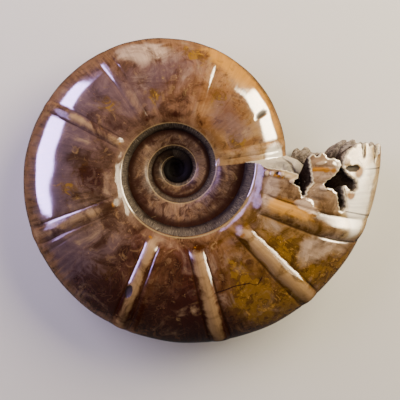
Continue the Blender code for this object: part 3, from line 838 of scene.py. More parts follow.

# %% [markdown]
# ## The mesh and what its corners carry
# Growth lines, ribs and stains follow the shell, not space, so each corner carries its own readings
# as attributes: how much rib or furrow is there, how near it is to the broken edge, and how stained
# it is. Each stain is a group of soft spots given one by one: amber, gold and rust where iron
# seeped in, smoky from the mud, a violet tint, milky where the calcite is cloudy, and bare where
# the outer shell has come away. Some spots are painted light instead: part of the gold is warm
# light beside the right highlight, part of the violet and of the milky is sheen of the lights, and
# the painted highlight spots are glare on the outer frill and below the right highlight.

# %% Stains
# Each: degrees along the coil, q, radius in millimetres and strength.
STAINS = {
    "amber": (
        (325, 1.16, 12, 0.9), (323, 1.30, 12, 0.9), (329, 1.72, 20, 1.0), (321, 1.52, 14, 0.9),
        (303, 1.54, 22, 1.0), (301, 1.32, 18, 0.9), (306, 1.72, 16, 1.0), (302, 1.12, 10, 0.7),
        (60, 1.22, 12, 0.6), (24, 1.08, 12, 0.8), (106, 1.09, 7, 1.0), (81, 1.60, 14, 0.8),
        (179, 1.12, 8, 0.6), (189, 1.27, 10, 0.7), (134, 1.25, 10, 0.7), (235, 1.32, 8, 0.6),
        (348, 1.22, 8, 0.3), (40, 1.75, 30, 0.8), (345, 1.04, 8, 0.5),
    ),
    "rust": (
        (207.5, 0.79, 3.4, 1.2), (212.5, 0.78, 2.6, 1.0), (248, 0.66, 3.4, 1.2),
        (315.5, 0.87, 4, 1.2), (283, 0.72, 2.6, 0.9), (352, 1.49, 3.4, 1.6),
        (359.4, 1.525, 3.6, 1.4), (154, 0.74, 2.6, 0.9), (358.0, 0.83, 2.8, 1.2),
        (357.6, 0.90, 3, 1.2), (357.0, 0.97, 2.6, 1.0), (360.9, 1.18, 2.2, 1.4),
        (360.8, 1.22, 2.2, 1.2), (360.5, 1.26, 2.2, 1.4), (360.2, 1.31, 2.2, 1.2),
    ),
    # Gold spots are partly a stain and partly painted warm light: those from 10 to 70 degrees lie
    # beside the right highlight.
    "gold_and_warm_light": (
        (341.5, 0.95, 10, 0.9), (342, 1.08, 10, 0.9), (342, 1.20, 9, 0.7), (60, 1.66, 16, 0.9),
        (48, 1.62, 14, 0.9), (70, 1.76, 16, 0.8), (36, 1.66, 14, 0.8), (10, 1.46, 10, 0.8),
        (22, 1.70, 12, 0.7),
    ),
    "smoky": (
        (91, 0.74, 13, 1.0), (117, 0.73, 11, 0.9), (64, 0.74, 11, 0.8), (85, 1.02, 12, 0.6),
        (272, 1.37, 30, 0.6), (265, 1.20, 22, 0.1), (279, 1.50, 22, 0.7), (266, 1.75, 34, 0.6),
        (286, 1.90, 30, 0.9), (230, 1.39, 16, 0.5), (246, 1.44, 20, 0.7), (236, 1.60, 20, 0.7),
        (308, 1.10, 7, 0.7), (203, 1.26, 12, 0.4), (181, 1.12, 8, 0.6), (176, 1.00, 20, 0.4),
        (190, 0.97, 14, 0.9),
    ),
    # Milky spots are cloudy calcite, except those near the umbilical shoulder from 333 to 352
    # degrees, which are painted sheen.
    "milky_and_sheen": (
        (103, 1.58, 14, 1.5), (111, 1.68, 14, 0.8), (110, 1.26, 12, 0.7), (88, 1.29, 14, 0.5),
        (328, 1.37, 11, 1.0), (331, 1.42, 10, 0.8), (330, 1.07, 10, 0.6), (336, 1.47, 10, 0.8),
        (336, 1.64, 10, 0.9), (223, 1.62, 18, 0.25), (303, 1.08, 10, 0.5), (293, 1.33, 10, 0.4),
        (289, 0.79, 10, 0.6), (327, 0.90, 10, 0.6), (250, 0.80, 8, 0.5), (352, 0.82, 13, 1.6),
        (344, 0.84, 12, 1.6), (333, 0.80, 8, 0.8), (357, 1.25, 10, 0.7), (345.4, 1.17, 9, 1.1),
        (351, 1.23, 8, 0.7), (13, 1.24, 10, 0.9),
    ),
    # Painted highlight: glare on the outer frill, and where the right highlight runs down the flank
    # below it.
    "painted_highlight": (
        (351, 1.56, 11, 1.1), (347, 1.64, 12, 0.9), (356, 1.62, 11, 1.0), (342, 1.62, 9, 0.6),
        (360, 1.68, 9, 0.7), (9, 1.47, 9, 0.8), (4.5, 1.58, 10, 1.0), (7, 1.68, 10, 0.7),
    ),
    # Violet spots are partly a tint of the stone and partly painted sheen of the cool light: those
    # along the left highlight, from 140 to 236 degrees.
    "violet_and_sheen": (
        (217, 1.44, 16, 0.8), (192, 1.43, 22, 1.0), (162, 1.37, 22, 1.0), (140, 1.42, 18, 0.7),
        (120, 1.35, 16, 0.3), (127, 1.05, 10, 0.6), (352, 0.78, 10, 0.8), (325, 0.88, 10, 0.6),
        (310, 0.85, 10, 0.6), (176, 1.50, 20, 0.8), (228, 1.15, 12, 0.5), (222, 1.52, 20, 0.8),
        (236, 1.72, 20, 0.6), (92, 1.38, 20, 0.7), (104, 1.24, 14, 0.7), (58, 1.24, 12, 0.5),
        (52, 0.95, 12, 0.5), (112, 1.02, 12, 0.6), (33, 1.14, 14, 0.8), (50, 1.12, 14, 0.5),
        (127, 1.24, 16, 0.5), (22, 1.02, 12, 0.5),
    ),
    "bare": (
        (365.5, 0.90, 10, 1.0), (358.5, 1.03, 6, 0.9), (363.0, 1.25, 10, 0.2),
        (366.0, 1.50, 14, 1.0), (357.0, 1.62, 18, 1.2), (349.0, 1.62, 16, 1.0),
        (342.0, 1.60, 10, 0.6), (352.0, 1.85, 20, 0.8), (6.5, 1.35, 8, 0.5),
    ),
}
print({name: len(spots) for name, spots in STAINS.items()})

# %% How stained a point is


def stain(phi, q, spots):
    """Sum of bells round the spots, each a bell of the distance in its own radii, at most one."""
    total = np.zeros_like(phi)
    for degrees, at, size, strength in spots:
        x = (phi - math.radians(degrees)) * 1000 * mid_flank(phi) / size
        y = (q - at) * MM_PER_Q / size
        total += strength * np.exp(-(x**2 + y**2))
    return np.clip(total, 0, 1)


print("amber at the end:", stain(np.array([END_PHI]), np.array([1.5]), STAINS["amber"]).round(2))

# %% [markdown]
# ## Hairline cracks
# A crack is far thinner than the mesh's triangles, and cutting it in would take very fine ones.
# But the distance from it changes evenly from corner to corner. So the corners carry that
# distance, with a sign for the side, and the material draws the line where it passes zero.

# %% Cracks
# Cracks that run along the coil, one on the flank and one on the frill: degrees and q.
LONG_CRACKS = (
    (
        (286.5, 1.245), (288.1, 1.239), (296.6, 1.231), (303.8, 1.259), (304.1, 1.307),
        (309.4, 1.254),
    ),
    ((359.6, 1.585), (360.6, 1.566), (361.4, 1.556), (363.0, 1.510), (363.9, 1.492)),
)
# Two cracks straight across the outer flank: degrees, and q at both ends.
CROSS_CRACKS = ((346.3, 1.47, 2.6), (360.2, 1.57, 2.6))
FAR_FROM_CRACKS = 9.0  # millimetres, read where there is no crack
LONG_TAPER = 0.6  # degrees over which a long crack fades at its ends
CROSS_REACH, CROSS_TAPER = 6.0, 0.02  # degrees that read a cross crack, and q over which it fades


def crack_distance(phi, q):
    """Millimetres to the nearest crack, negative on one side of it, and 1 where there is one. A
    long crack is q as a function of the angle; a cross crack is a line of constant angle."""
    degrees = np.degrees(phi)
    away, present = np.full(len(phi), FAR_FROM_CRACKS), np.zeros(len(phi))
    for path in LONG_CRACKS:
        path_degrees, path_q = np.array(path).T
        inside = (degrees > path_degrees[0]) & (degrees < path_degrees[-1])
        away = np.where(inside, MM_PER_Q * (q - np.interp(degrees, path_degrees, path_q)), away)
        here = smooth_step(degrees, path_degrees[0], path_degrees[0] + LONG_TAPER)
        here = here * (1 - smooth_step(degrees, path_degrees[-1] - LONG_TAPER, path_degrees[-1]))
        present = np.where(inside, here, present)
    mm_per_degree = 1000 * math.radians(mid_flank(FULL_TURN))
    for angle, start, end in CROSS_CRACKS:
        near = (np.abs(degrees - angle) < CROSS_REACH) & (q > start - CROSS_TAPER)
        away = np.where(near, mm_per_degree * (degrees - angle), away)
        here = smooth_step(q, start - CROSS_TAPER / 2, start + CROSS_TAPER) * (q < end)
        present = np.where(near, here, present)
    return away, present


print("cracks:", len(LONG_CRACKS), "along the coil,", len(CROSS_CRACKS), "across it")

# %% [markdown]
# ## Growth lines
# Growth lines are old mouth edges, so they run side by side with the ribs. A point's place among
# them is its angle less the lag of the nearest ribs at its level.

# %% Growth lines


def growth_angle(phi, across):
    """phi less the lag of the nearest ribs at this level, so growth lines run along the ribs."""
    ribs = np.radians(np.array(RIBS)[:, :3])
    flank_lag = np.interp(phi, ribs[:, 0], ribs[:, 1] - ribs[:, 0])
    shoulder_lag = np.interp(phi, ribs[:, 0], ribs[:, 2] - ribs[:, 0])
    shoulder_level, flank_level, venter_level = RIB_LEVELS
    from_venter = (venter_level - across) / (venter_level - flank_level)
    from_flank = (flank_level - across) / (flank_level - shoulder_level)
    beyond = flank_lag + (shoulder_lag - flank_lag) * from_flank
    return phi - np.where(across > flank_level, flank_lag * from_venter, beyond)


lag = math.radians(350) - growth_angle(math.radians(350), RIB_LEVELS[0])
print("lag at the shoulder near the end, degrees:", round(math.degrees(lag), 1))

# %% The growth map
# Metres from growth line to growth line, and across the coil. The first is the venter's radius
# over its growth for each radian, which is nearly the length of the spiral.
ACROSS_METRES_PER_Q = 0.045  # at phi = 0
phi, q, w = readings.T
across = np.minimum(q, 4 - q)
turn_rate = math.log(VENTER_GROWTH) / FULL_TURN
growth_metres = grown(VENTER_RADIUS, VENTER_GROWTH, growth_angle(phi, across)) / turn_rate
across_metres = across * ACROSS_METRES_PER_Q * grown(1.0, VENTER_GROWTH, phi)
print("growth map, m:", round(np.ptp(growth_metres), 2), "by", round(np.ptp(across_metres), 2))

# %% How near the broken edge is
# The light edge where the shell broke is wider in some places: its mean width plus a product of
# two sines.
EDGE_WIDTH, EDGE_UNEVENNESS = 0.0008, 0.0006  # metres
EDGE_WAVES = (150, 3, 55)  # count of phi and start of one sine, and count of q of the other
FAR_FROM_EDGE = 1.0  # metres, read away from the end
NEAR_END = END_PHI - 0.9 * PATCH_ANGLE
WALL_FOOT = 0.9  # w past which the chamber wall isn't near its edge
CHUNKS = 24  # the corners are measured in so many parts, which saves memory
near_end = np.flatnonzero((phi > NEAR_END) & (w < WALL_FOOT))
broken_edge = np.full(len(phi), FAR_FROM_EDGE)
for chunk in np.array_split(near_end, CHUNKS):
    flat = laid_flat(across[chunk], phi[chunk])
    broken_edge[chunk] = distance_to_line(flat, suture[::2])
round_coil, start, over = EDGE_WAVES
unevenness = EDGE_UNEVENNESS * np.sin(round_coil * phi + start) * np.sin(over * across)
edge = np.exp(-broken_edge / (EDGE_WIDTH + unevenness))
print("corners on the light edge:", int((edge > 0.5).sum()))

# %% Readings
# Bands across the coil: levels of q, and the reading at each.
BANDS = {
    "foot": ((0.0, 0.32), (1, 0)),
    "rim": ((0.435, 0.45, 0.47, 0.50), (0, 1, 1, 0)),
    "shoulder": ((0.44, 0.46, 0.66, 0.84), (0, 1, 1, 0)),
    "outer_band": ((1.45, 1.85), (0, 1)),
}
DEGREES_ROUND, DEGREES_INWARD = 370.0, 1080.0  # one on the readings "around" and "turns_in"
PALEST_RIB = 0.7  # a taller rib is no paler
RIB_PALENESS = ((215, 245, 325, 338), (0.6, 1, 1, 0.7))  # at each of these degrees
TONGUE_SHARE = 0.75  # of the colour of the knobs
NEXT_TURN_SHADE = (0.84, 0.99)  # share of the way to the next turn over which its shade deepens
# Ribs and furrows dull the gloss, these times as fast as they rise and sink, except on the well
# polished outer band at the end: q over which that begins, and degrees from which.
RIB_DULLS, FURROW_DULLS = 4, 2
GLOSSY_BAND, GLOSSY_FROM = (1.30, 1.55), 330
SLACK = 1e-6  # radians, so that the first column of the last turn counts as part of it
degrees = np.degrees(phi)
on_last_turn = phi > END_PHI - FULL_TURN - SLACK
rib, furrow = rib_reading(phi, q)
crack, cracked = crack_distance(phi, q)
glossy_end = smooth_step(across, *GLOSSY_BAND) * (degrees > GLOSSY_FROM)
ribbed = np.clip(RIB_DULLS * rib + FURROW_DULLS * furrow, 0, 1) * (1 - glossy_end)
knobs = dome_reading(phi, q, KNOBS) + TONGUE_SHARE * dome_reading(phi, q, TONGUE)
readings_by_name = {
    "around": degrees / DEGREES_ROUND,
    "turns_in": -degrees / DEGREES_INWARD,
    "depth": w,
    "slot": w * (q < 2),
    "inner_turn": np.where(on_last_turn, 0.0, 1.0),
    "shade_under_next": smooth_step(across / covered_from(phi), *NEXT_TURN_SHADE) * ~on_last_turn,
    "rib": np.minimum(rib, PALEST_RIB) * np.interp(degrees, *RIB_PALENESS),
    "furrow": furrow,
    "ribbed": ribbed,
    "groove": groove_reading(phi, q) * 1000,
    "edge": edge,
    "knob": knobs * 1000,
    "chip": dome_reading(phi, q, CHIPS) * 1000,
    "crack": crack,
    "cracked": cracked,
    **{name: np.interp(across, *band) for name, band in BANDS.items()},
    **{name: stain(phi, across, spots) for name, spots in STAINS.items()},
}
print("readings:", len(readings_by_name))

# %% The mesh
SHARP_FROM = math.radians(50)  # edges that bend more than this are shaded as edges
data = bpy.data.meshes.new("ammonite_shell")
data.from_pydata(points.tolist(), [], triangles.tolist())
for name, values in readings_by_name.items():
    attribute = data.attributes.new(name, "FLOAT", "CORNER")
    attribute.data.foreach_set("value", values.astype(np.float32))
growth_map = data.uv_layers.new(name="growth")
flat_map = np.stack([growth_metres, across_metres], axis=-1)
growth_map.data.foreach_set("uv", flat_map.astype(np.float32).ravel())
data.polygons.foreach_set("material_index", finishes.astype(np.int32))
data.shade_smooth()
data.set_sharp_from_angle(angle=SHARP_FROM)
shell = bpy.data.objects.new("ammonite_shell", data)
bpy.context.scene.collection.objects.link(shell)
print("mesh:", len(data.vertices), "vertices,", len(data.polygons), "triangles")

# %% [markdown]
# ## Helpers for materials
# Colours are written as sRGB hex values, the way a paint program shows them, and turned to the
# linear values that Blender wants. One function adds any node. Layers of paint come from a table:
# each row says which reading, how much of it, over which pattern, and the colour that it lays on.
# Noise patterns come from a table too, with the size of one wave on the real shell.

# %% Colours and nodes
# Socket numbers of a Mix node for colours: its share, the colour under, the one over, the result.
SHARE, UNDER, OVER, MIXED = 0, 6, 7, 2


def colour(hex_value):
    """sRGB hex to linear RGBA: the standard curve, c / 12.92 below 0.04045, a 2.4 power above."""
    parts = np.array([int(hex_value[i : i + 2], 16) for i in (1, 3, 5)]) / 255
    linear = np.where(parts <= 0.04045, parts / 12.92, ((parts + 0.055) / 1.055) ** 2.4)
    return (*linear.tolist(), 1.0)


def add(tree, kind, inputs=None, output=0, stops=(), **settings):
    """Adds a node with its settings, gives each named input its value or its link, sets a colour
    ramp's (position, hex) stops, and returns one of the node's outputs."""
    node = tree.nodes.new("ShaderNode" + kind)
    for name, setting in settings.items():
        setattr(node, name, setting)
    for name, value in (inputs or {}).items():
        if isinstance(value, bpy.types.NodeSocket):
            tree.links.new(value, node.inputs[name])
        else:
            node.inputs[name].default_value = value
    for number, (position, hex_value) in enumerate(stops):
        elements = node.color_ramp.elements
        element = elements[number] if number < 2 else elements.new(position)
        element.position, element.color = position, colour(hex_value)
    return node.outputs[output]


print("grey in the middle of sRGB is, in linear light:", round(colour("#808080")[0], 3))

# %% Paint and sums


def painted(tree, base, read, patterns, layers):
    """Lays each row's colour over the base where weight * reading + pattern passes from low to
    high, up to the row's strength. A high below the low paints where a pattern is weak."""
    for name, weight, pattern, low, high, strength, hex_value in layers:
        amount = {0: read[name], 1: weight, 2: patterns[pattern]}
        amount = add(tree, "Math", amount, operation="MULTIPLY_ADD")
        eased = {"Value": amount, "From Min": low, "From Max": high, "To Max": strength}
        eased = add(tree, "MapRange", eased, interpolation_type="SMOOTHSTEP")
        mix = {SHARE: eased, UNDER: base, OVER: colour(hex_value)}
        base = add(tree, "Mix", mix, MIXED, data_type="RGBA")
    return base


def added_up(tree, read, total, shares):
    """The total plus each named reading times its share."""
    for name, share in shares.items():
        total = add(tree, "Math", {0: read[name], 1: share, 2: total}, operation="MULTIPLY_ADD")
    return total


print("each layer of paint takes 3 nodes")

# %% The start and the end of a finish
CALCITE_IOR = 1.60
DRAWN_OUT = (1.0, 0.10, 1.0)  # a pattern along growth lines is ten times as long as it is wide


def start_finish(name, values, reading_names, noises):
    """A material with its shader's values, its readings, and its noise patterns: for each, what
    it lies on, one wave in millimetres, detail, roughness of the detail, and how far it swirls."""
    material = bpy.data.materials.new(name)
    material.use_nodes = True
    tree = material.node_tree
    for socket, value in {"IOR": CALCITE_IOR, **values}.items():
        tree.nodes["Principled BSDF"].inputs[socket].default_value = value
    read = {"all": 1.0}
    for reading in reading_names:
        read[reading] = add(tree, "Attribute", output="Fac", attribute_name=reading)
    lies_on = {"space": add(tree, "TexCoord", output="Object")}
    if any(noise[0] != "space" for noise in noises.values()):
        lies_on["shell"] = add(tree, "UVMap", uv_map="growth")
        stretch = {"Vector": lies_on["shell"], "Scale": DRAWN_OUT}
        lies_on["lines"] = add(tree, "Mapping", stretch)
    patterns = {"even": 0.0}
    for pattern, (ground, wave, detail, roughness, swirl) in noises.items():
        inputs = {"Vector": lies_on[ground], "Scale": 1000 / wave, "Detail": detail}
        inputs |= {"Roughness": roughness, "Distortion": swirl}
        patterns[pattern] = add(tree, "TexNoise", inputs)
    return material, read, patterns, lies_on["space"]


def end_finish(material, base, height, strength, distance):
    """Links the colour, and bump of this height pattern, strength and distance in metres; says
    how many nodes the material has."""
    tree = material.node_tree
    bump = {"Height": height, "Strength": strength, "Distance": distance}
    for socket, value in (("Base Color", base), ("Normal", add(tree, "Bump", bump))):
        tree.links.new(value, tree.nodes["Principled BSDF"].inputs[socket])
    return f"{material.name}: {len(tree.nodes)} nodes"


print("calcite's index of refraction:", CALCITE_IOR)

# %% [markdown]
# ## Polished calcite
# The shell wall has turned to calcite and aragonite, stained by iron from the rock, and it was
# ground and then polished with ever finer grit. Calcite is glassy, with an IOR near 1.6, so it
# gives sharp reflections over a deep and patchy brown. Patches are 10 to 30 mm across, wisps and
# crystals about 5 mm, and growth lines 1 to 3 mm apart. Real crystals and growth lines are finer
# still: these are as coarse as they need to be to show. All of it could be painted by hand on a
# flat map. Noise laid over the readings is used instead: it has no seam and stays sharp close up.

# %% Patterns in the calcite
# Polished calcite: the gloss is sharp, and the colour lies under it in soft patches.
calcite, read, patterns, in_space = start_finish("polished calcite", {}, readings_by_name, {
    "clouds": ("space", 22.22, 6.0, 0.62, 0.9),
    "patches": ("space", 10.53, 6.0, 0.66, 1.4),
    "wisps": ("shell", 5.882, 6.0, 0.68, 1.6),
    "veins": ("space", 29.41, 3.0, 0.5, 0.8),
    "streaks": ("lines", 3.030, 4.0, 0.6, 0.3),
    "hatch": ("lines", 1.250, 3.0, 0.6, 0.3),
    "flecks": ("space", 1.923, 2.0, 0.5, 0.0),
})
tree = calcite.node_tree
CRYSTAL_SIZE, CRYSTAL_SHARE = 5.263, 0.22  # millimetres, and how far they stand out of the patches
crystals = {"Vector": in_space, "Scale": 1000 / CRYSTAL_SIZE, "Randomness": 1.0}
crystals = {0: add(tree, "TexVoronoi", crystals, "Color"), 1: CRYSTAL_SHARE, 2: patterns["patches"]}
patterns["crystals"] = add(tree, "Math", crystals, operation="MULTIPLY_ADD")
# A vein is where its noise passes the middle, 0.5: the pattern is highest there.
off_vein = add(tree, "Math", {0: patterns["veins"], 1: 0.5}, operation="SUBTRACT")
off_vein = add(tree, "Math", {0: off_vein}, operation="ABSOLUTE")
patterns["veins"] = add(tree, "Math", {0: 0.5, 1: off_vein}, operation="SUBTRACT")
# Gaps are what the hatch leaves free, and mottle is what the patches leave free.
for opposite, original in (("gaps", "hatch"), ("mottle", "patches")):
    patterns[opposite] = add(tree, "Math", {0: 1.0, 1: patterns[original]}, operation="SUBTRACT")
crack_width = add(tree, "Math", {0: read["crack"]}, operation="ABSOLUTE")
patterns["crack"] = add(tree, "Math", {0: crack_width, 1: -1.0}, operation="MULTIPLY")
print("patterns:", list(patterns))

# %% Colours of the polished calcite
# The body colour round the coil, in its dark patches and in its light ones: the stone's own tones
# with painted light in them, lighter up to about 60 degrees where the warm light falls, and darkest
# near 275 degrees, on the shaded lower side.
DARK_BODY_AS_LIT = (
    (0.02, "#745230"), (0.09, "#744c24"), (0.12, "#643e1c"), (0.16, "#7c5028"), (0.22, "#583824"),
    (0.26, "#503220"), (0.32, "#483024"), (0.40, "#422c26"), (0.49, "#34200f"), (0.54, "#3a2618"),
    (0.61, "#3e261a"), (0.65, "#2c1208"), (0.71, "#361c0c"), (0.745, "#260802"), (0.81, "#422408"),
    (0.88, "#523608"), (0.92, "#543814"), (0.96, "#664c34"),
)
LIGHT_BODY_AS_LIT = (
    (0.02, "#a88456"), (0.09, "#946e3e"), (0.12, "#866038"), (0.16, "#9c7040"), (0.22, "#886044"),
    (0.26, "#7e583e"), (0.32, "#70503e"), (0.40, "#64483c"), (0.49, "#5a4032"), (0.54, "#644c3c"),
    (0.61, "#684e3e"), (0.65, "#4c2c1e"), (0.71, "#5e3a22"), (0.745, "#46200e"), (0.81, "#704a24"),
    (0.88, "#8a6428"), (0.92, "#866438"), (0.96, "#9a7c60"),
)
# The colour of the turns inside the umbilicus, from the last one inwards.
INNER_BODY = (
    (0.0, "#402a1e"), (0.03, "#321e14"), (0.055, "#503624"), (0.083, "#846046"), (0.105, "#543826"),
    (0.14, "#2a1610"), (0.19, "#503628"), (0.25, "#28140e"), (0.30, "#443028"), (0.34, "#6c5444"),
    (0.40, "#60462e"), (0.46, "#3c2a18"), (0.60, "#2c1e12"),
)
INNER_SHARE = 0.88  # how far that colour covers the turns inside
dark_body_as_lit, light_body_as_lit, inner_body = (
    add(tree, "ValToRGB", {"Fac": read[name]}, stops=(stops[0], stops[-1], *stops[1:-1]))
    for name, stops in (("around", DARK_BODY_AS_LIT), ("around", LIGHT_BODY_AS_LIT), ("turns_in", INNER_BODY))
)
lightness = {"Value": patterns["clouds"], "From Min": 0.36, "From Max": 0.62}
lightness = add(tree, "MapRange", lightness, interpolation_type="SMOOTHSTEP")
body = {SHARE: lightness, UNDER: dark_body_as_lit, OVER: light_body_as_lit}
body = add(tree, "Mix", body, MIXED, data_type="RGBA")
inner_share = add(tree, "Math", {0: read["inner_turn"], 1: INNER_SHARE}, operation="MULTIPLY")
body = {SHARE: inner_share, UNDER: body, OVER: inner_body}
body = add(tree, "Mix", body, MIXED, data_type="RGBA")
print("colours round the coil:", len(DARK_BODY_AS_LIT), "and inwards:", len(INNER_BODY))

# %% Layers on the polished calcite
# Reading, weight, pattern, low, high, strength, colour.
base = painted(tree, body, read, patterns, (
    ("all", 0.0, "crystals", 0.56, 0.46, 0.45, "#2c1408"),
    ("all", 0.0, "crystals", 0.68, 0.76, 0.25, "#a88058"),
    ("all", 0.0, "wisps", 0.58, 0.66, 0.20, "#8c6a3c"),
    # A violet tint of the stone, partly painted sheen of the cool light beside the left highlight.
    ("violet_and_sheen", 0.35, "clouds", 0.48, 0.84, 0.60, "#5c4850"),
    ("outer_band", 0.50, "streaks", 0.62, 0.95, 0.50, "#86603e"),
    ("amber", 0.34, "patches", 0.60, 0.80, 0.75, "#563a0e"),
    ("amber", 0.30, "crystals", 0.84, 0.92, 0.55, "#8c6418"),
    ("amber", 0.22, "wisps", 0.78, 0.84, 0.45, "#cc9840"),
    ("smoky", 0.40, "patches", 0.62, 0.84, 0.82, "#2a0a03"),
    # Cloudy calcite, and painted sheen near the umbilical shoulder.
    ("milky_and_sheen", 0.40, "clouds", 0.60, 1.02, 0.78, "#bca088"),
    ("milky_and_sheen", 0.26, "crystals", 0.92, 0.98, 0.45, "#c8a88c"),
    ("all", 0.0, "veins", 0.495, 0.499, 0.08, "#b89068"),
    ("all", 0.0, "flecks", 0.74, 0.78, 0.40, "#c89c60"),
    ("rib", 0.36, "clouds", 0.56, 0.84, 0.76, "#a4825a"),
    ("rib", 0.30, "patches", 0.76, 0.94, 0.30, "#5c3c1c"),
    # Gold stain, and painted warm light beside the right highlight.
    ("gold_and_warm_light", 0.50, "patches", 0.62, 1.05, 0.80, "#c08634"),
    # Painted shade in the furrow along each rib.
    ("furrow", 0.70, "clouds", 0.60, 1.30, 0.80, "#241206"),
    ("shoulder", 0.40, "clouds", 0.70, 1.00, 0.25, "#8c6c50"),
    ("inner_turn", 0.50, "wisps", 0.86, 1.16, 0.50, "#6c5648"),
    ("inner_turn", 0.60, "gaps", 1.06, 1.26, 0.45, "#26160e"),
    ("inner_turn", 0.60, "mottle", 1.04, 1.24, 0.85, "#2e160e"),
    # Painted shade where the next turn overhangs the flank of the one inside it.
    ("shade_under_next", 0.90, "patches", 0.74, 1.36, 0.92, "#28120a"),
    # Painted shade: the first turns at the bottom of the pit go black.
    ("turns_in", 1.0, "even", 0.40, 0.60, 0.97, "#060302"),
    ("rim", 1.0, "even", 0.10, 0.90, 0.70, "#988058"),
    ("bare", 0.60, "patches", 0.60, 0.94, 0.85, "#bc9e6c"),
    ("bare", 0.40, "clouds", 0.92, 1.04, 0.60, "#e4d4b0"),
    ("bare", 0.40, "mottle", 0.84, 0.96, 0.65, "#84643c"),
    ("bare", 0.30, "gaps", 0.86, 0.96, 0.40, "#5c4428"),
    # Painted highlight: near-white glare on the outer frill and below the right highlight.
    ("painted_highlight", 0.60, "clouds", 0.70, 1.06, 0.90, "#fff6e6"),
    ("rust", 1.0, "even", 0.24, 0.90, 0.90, "#8e5a08"),
    # Painted shade in the grooves between the frill's fingers.
    ("groove", 1.0, "even", 0.10, 0.55, 0.95, "#2c1810"),
    ("edge", 0.60, "patches", 0.70, 1.10, 0.80, "#d4be94"),
    ("knob", 0.60, "patches", 0.70, 1.00, 0.80, "#cdb094"),
    # Chips painted dark: partly shade in the hollow, partly darker broken shell.
    ("chip", 1.0, "even", 0.05, 0.40, 0.95, "#1c140e"),
))
hairline = (("all", 0.0, "crack", -0.75, -0.25, 0.85, "#2a1006"),)  # millimetres from the crack
cracks = {SHARE: read["cracked"], UNDER: base, OVER: painted(tree, base, read, patterns, hairline)}
base = add(tree, "Mix", cracks, MIXED, data_type="RGBA")
# Growth lines lighten and darken all of it by up to a fifth.
shading = {"Value": patterns["streaks"], "From Min": 0.25, "From Max": 0.75}
shading = add(tree, "MapRange", {**shading, "To Min": 0.78, "To Max": 1.22})
shading = {SHARE: 1.0, UNDER: base, OVER: shading}
base = add(tree, "Mix", shading, MIXED, data_type="RGBA", blend_type="MULTIPLY")
print("nodes so far:", len(tree.nodes))

# %% Gloss of the polished calcite
# Rock dust has dulled the turns inside the umbilicus, and bare shell and chips are dull too.
POLISH_ROUGHNESS, FLECK_ROUGHNESS, MOST_ROUGHNESS = 0.085, 0.06, 0.7
ROUGHER = {"inner_turn": 0.22, "rib": 0.16, "bare": 0.22, "chip": 0.30, "furrow": 0.10}
# Where the wheel hardly touched, the reflection itself is faint: the specular level sinks.
POLISH_SHINE, LEAST_SHINE = 0.5, 0.04
FAINTER = {
    "inner_turn": -0.44, "ribbed": -0.455, "shoulder": -0.43, "bare": -0.22, "chip": -0.60,
    "groove": -0.80, "rust": -0.46, "knob": -0.44,
}
rough = {0: patterns["flecks"], 1: FLECK_ROUGHNESS, 2: POLISH_ROUGHNESS}
rough = added_up(tree, read, add(tree, "Math", rough, operation="MULTIPLY_ADD"), ROUGHER)
rough = add(tree, "Math", {0: rough, 1: MOST_ROUGHNESS}, operation="MINIMUM")
shine = added_up(tree, read, POLISH_SHINE, FAINTER)
shine = add(tree, "Math", {0: shine, 1: LEAST_SHINE}, operation="MAXIMUM")
shader = tree.nodes["Principled BSDF"]
tree.links.new(rough, shader.inputs["Roughness"])
tree.links.new(shine, shader.inputs["Specular IOR Level"])
print(end_finish(calcite, base, patterns["streaks"], 0.10, 0.0006))

# %% [markdown]
# ## Weathered calcite
# The polishing wheel couldn't reach the walls of the umbilicus. They kept their fine growth lines
# and a grey dust of rock, so they are matt and hatched. The first turns at the bottom of the pit
# are painted black, as shade, and so is the crease at the foot of the walls. They could be one more
# mask on the polished calcite, but they share no layer with it, so they get a short material of
# their own.

# %% Weathered calcite
# Weathered calcite: rock dust scatters the light, so it is grey and matt.
matt = {"Roughness": 0.6, "Specular IOR Level": 0.02}
on_walls = ("turns_in", "inner_turn", "foot")
weathered, read, patterns, _ = start_finish("weathered calcite", matt, on_walls, {
    "hatch": ("lines", 1.4286, 4.0, 0.62, 0.4),
    "mottle": ("space", 5.882, 4.0, 0.62, 0.4),
    "clouds": ("space", 22.22, 4.0, 0.62, 0.4),
})
tree = weathered.node_tree
dust = {SHARE: patterns["mottle"], UNDER: colour("#2c221a"), OVER: colour("#665a4e")}
dust = add(tree, "Mix", dust, MIXED, data_type="RGBA")
base = painted(tree, dust, read, patterns, (
    ("all", 0.0, "hatch", 0.47, 0.38, 0.80, "#0c0804"),
    ("all", 0.0, "hatch", 0.56, 0.70, 0.60, "#a8987e"),
    ("all", 0.0, "clouds", 0.50, 0.66, 0.60, "#1e140c"),
    ("inner_turn", 0.30, "mottle", 0.66, 0.90, 0.60, "#38281a"),
    # Painted shade in the crease at the foot of the umbilical wall.
    ("foot", 0.80, "mottle", 0.56, 1.20, 0.94, "#160a06"),
    # Painted shade: the first turns at the bottom of the pit go black.
    ("turns_in", 1.0, "even", 0.40, 0.68, 0.98, "#040201"),
))
print(end_finish(weathered, base, patterns["hatch"], 0.4, 0.0006))

# %% [markdown]
# ## The broken chamber wall
# The chamber wall was never polished. Its edge is bare shell, cream and chalky, and further in it
# is grey to brown with fine crystals on it. Its slots and its inside are painted dark brown to
# nearly black as shade, and the part nearest the turn before is painted pale as light. It is rough,
# so it has no sharp reflections. The folds are in the mesh, and the crystals are bump, because they
# are smaller than its triangles.

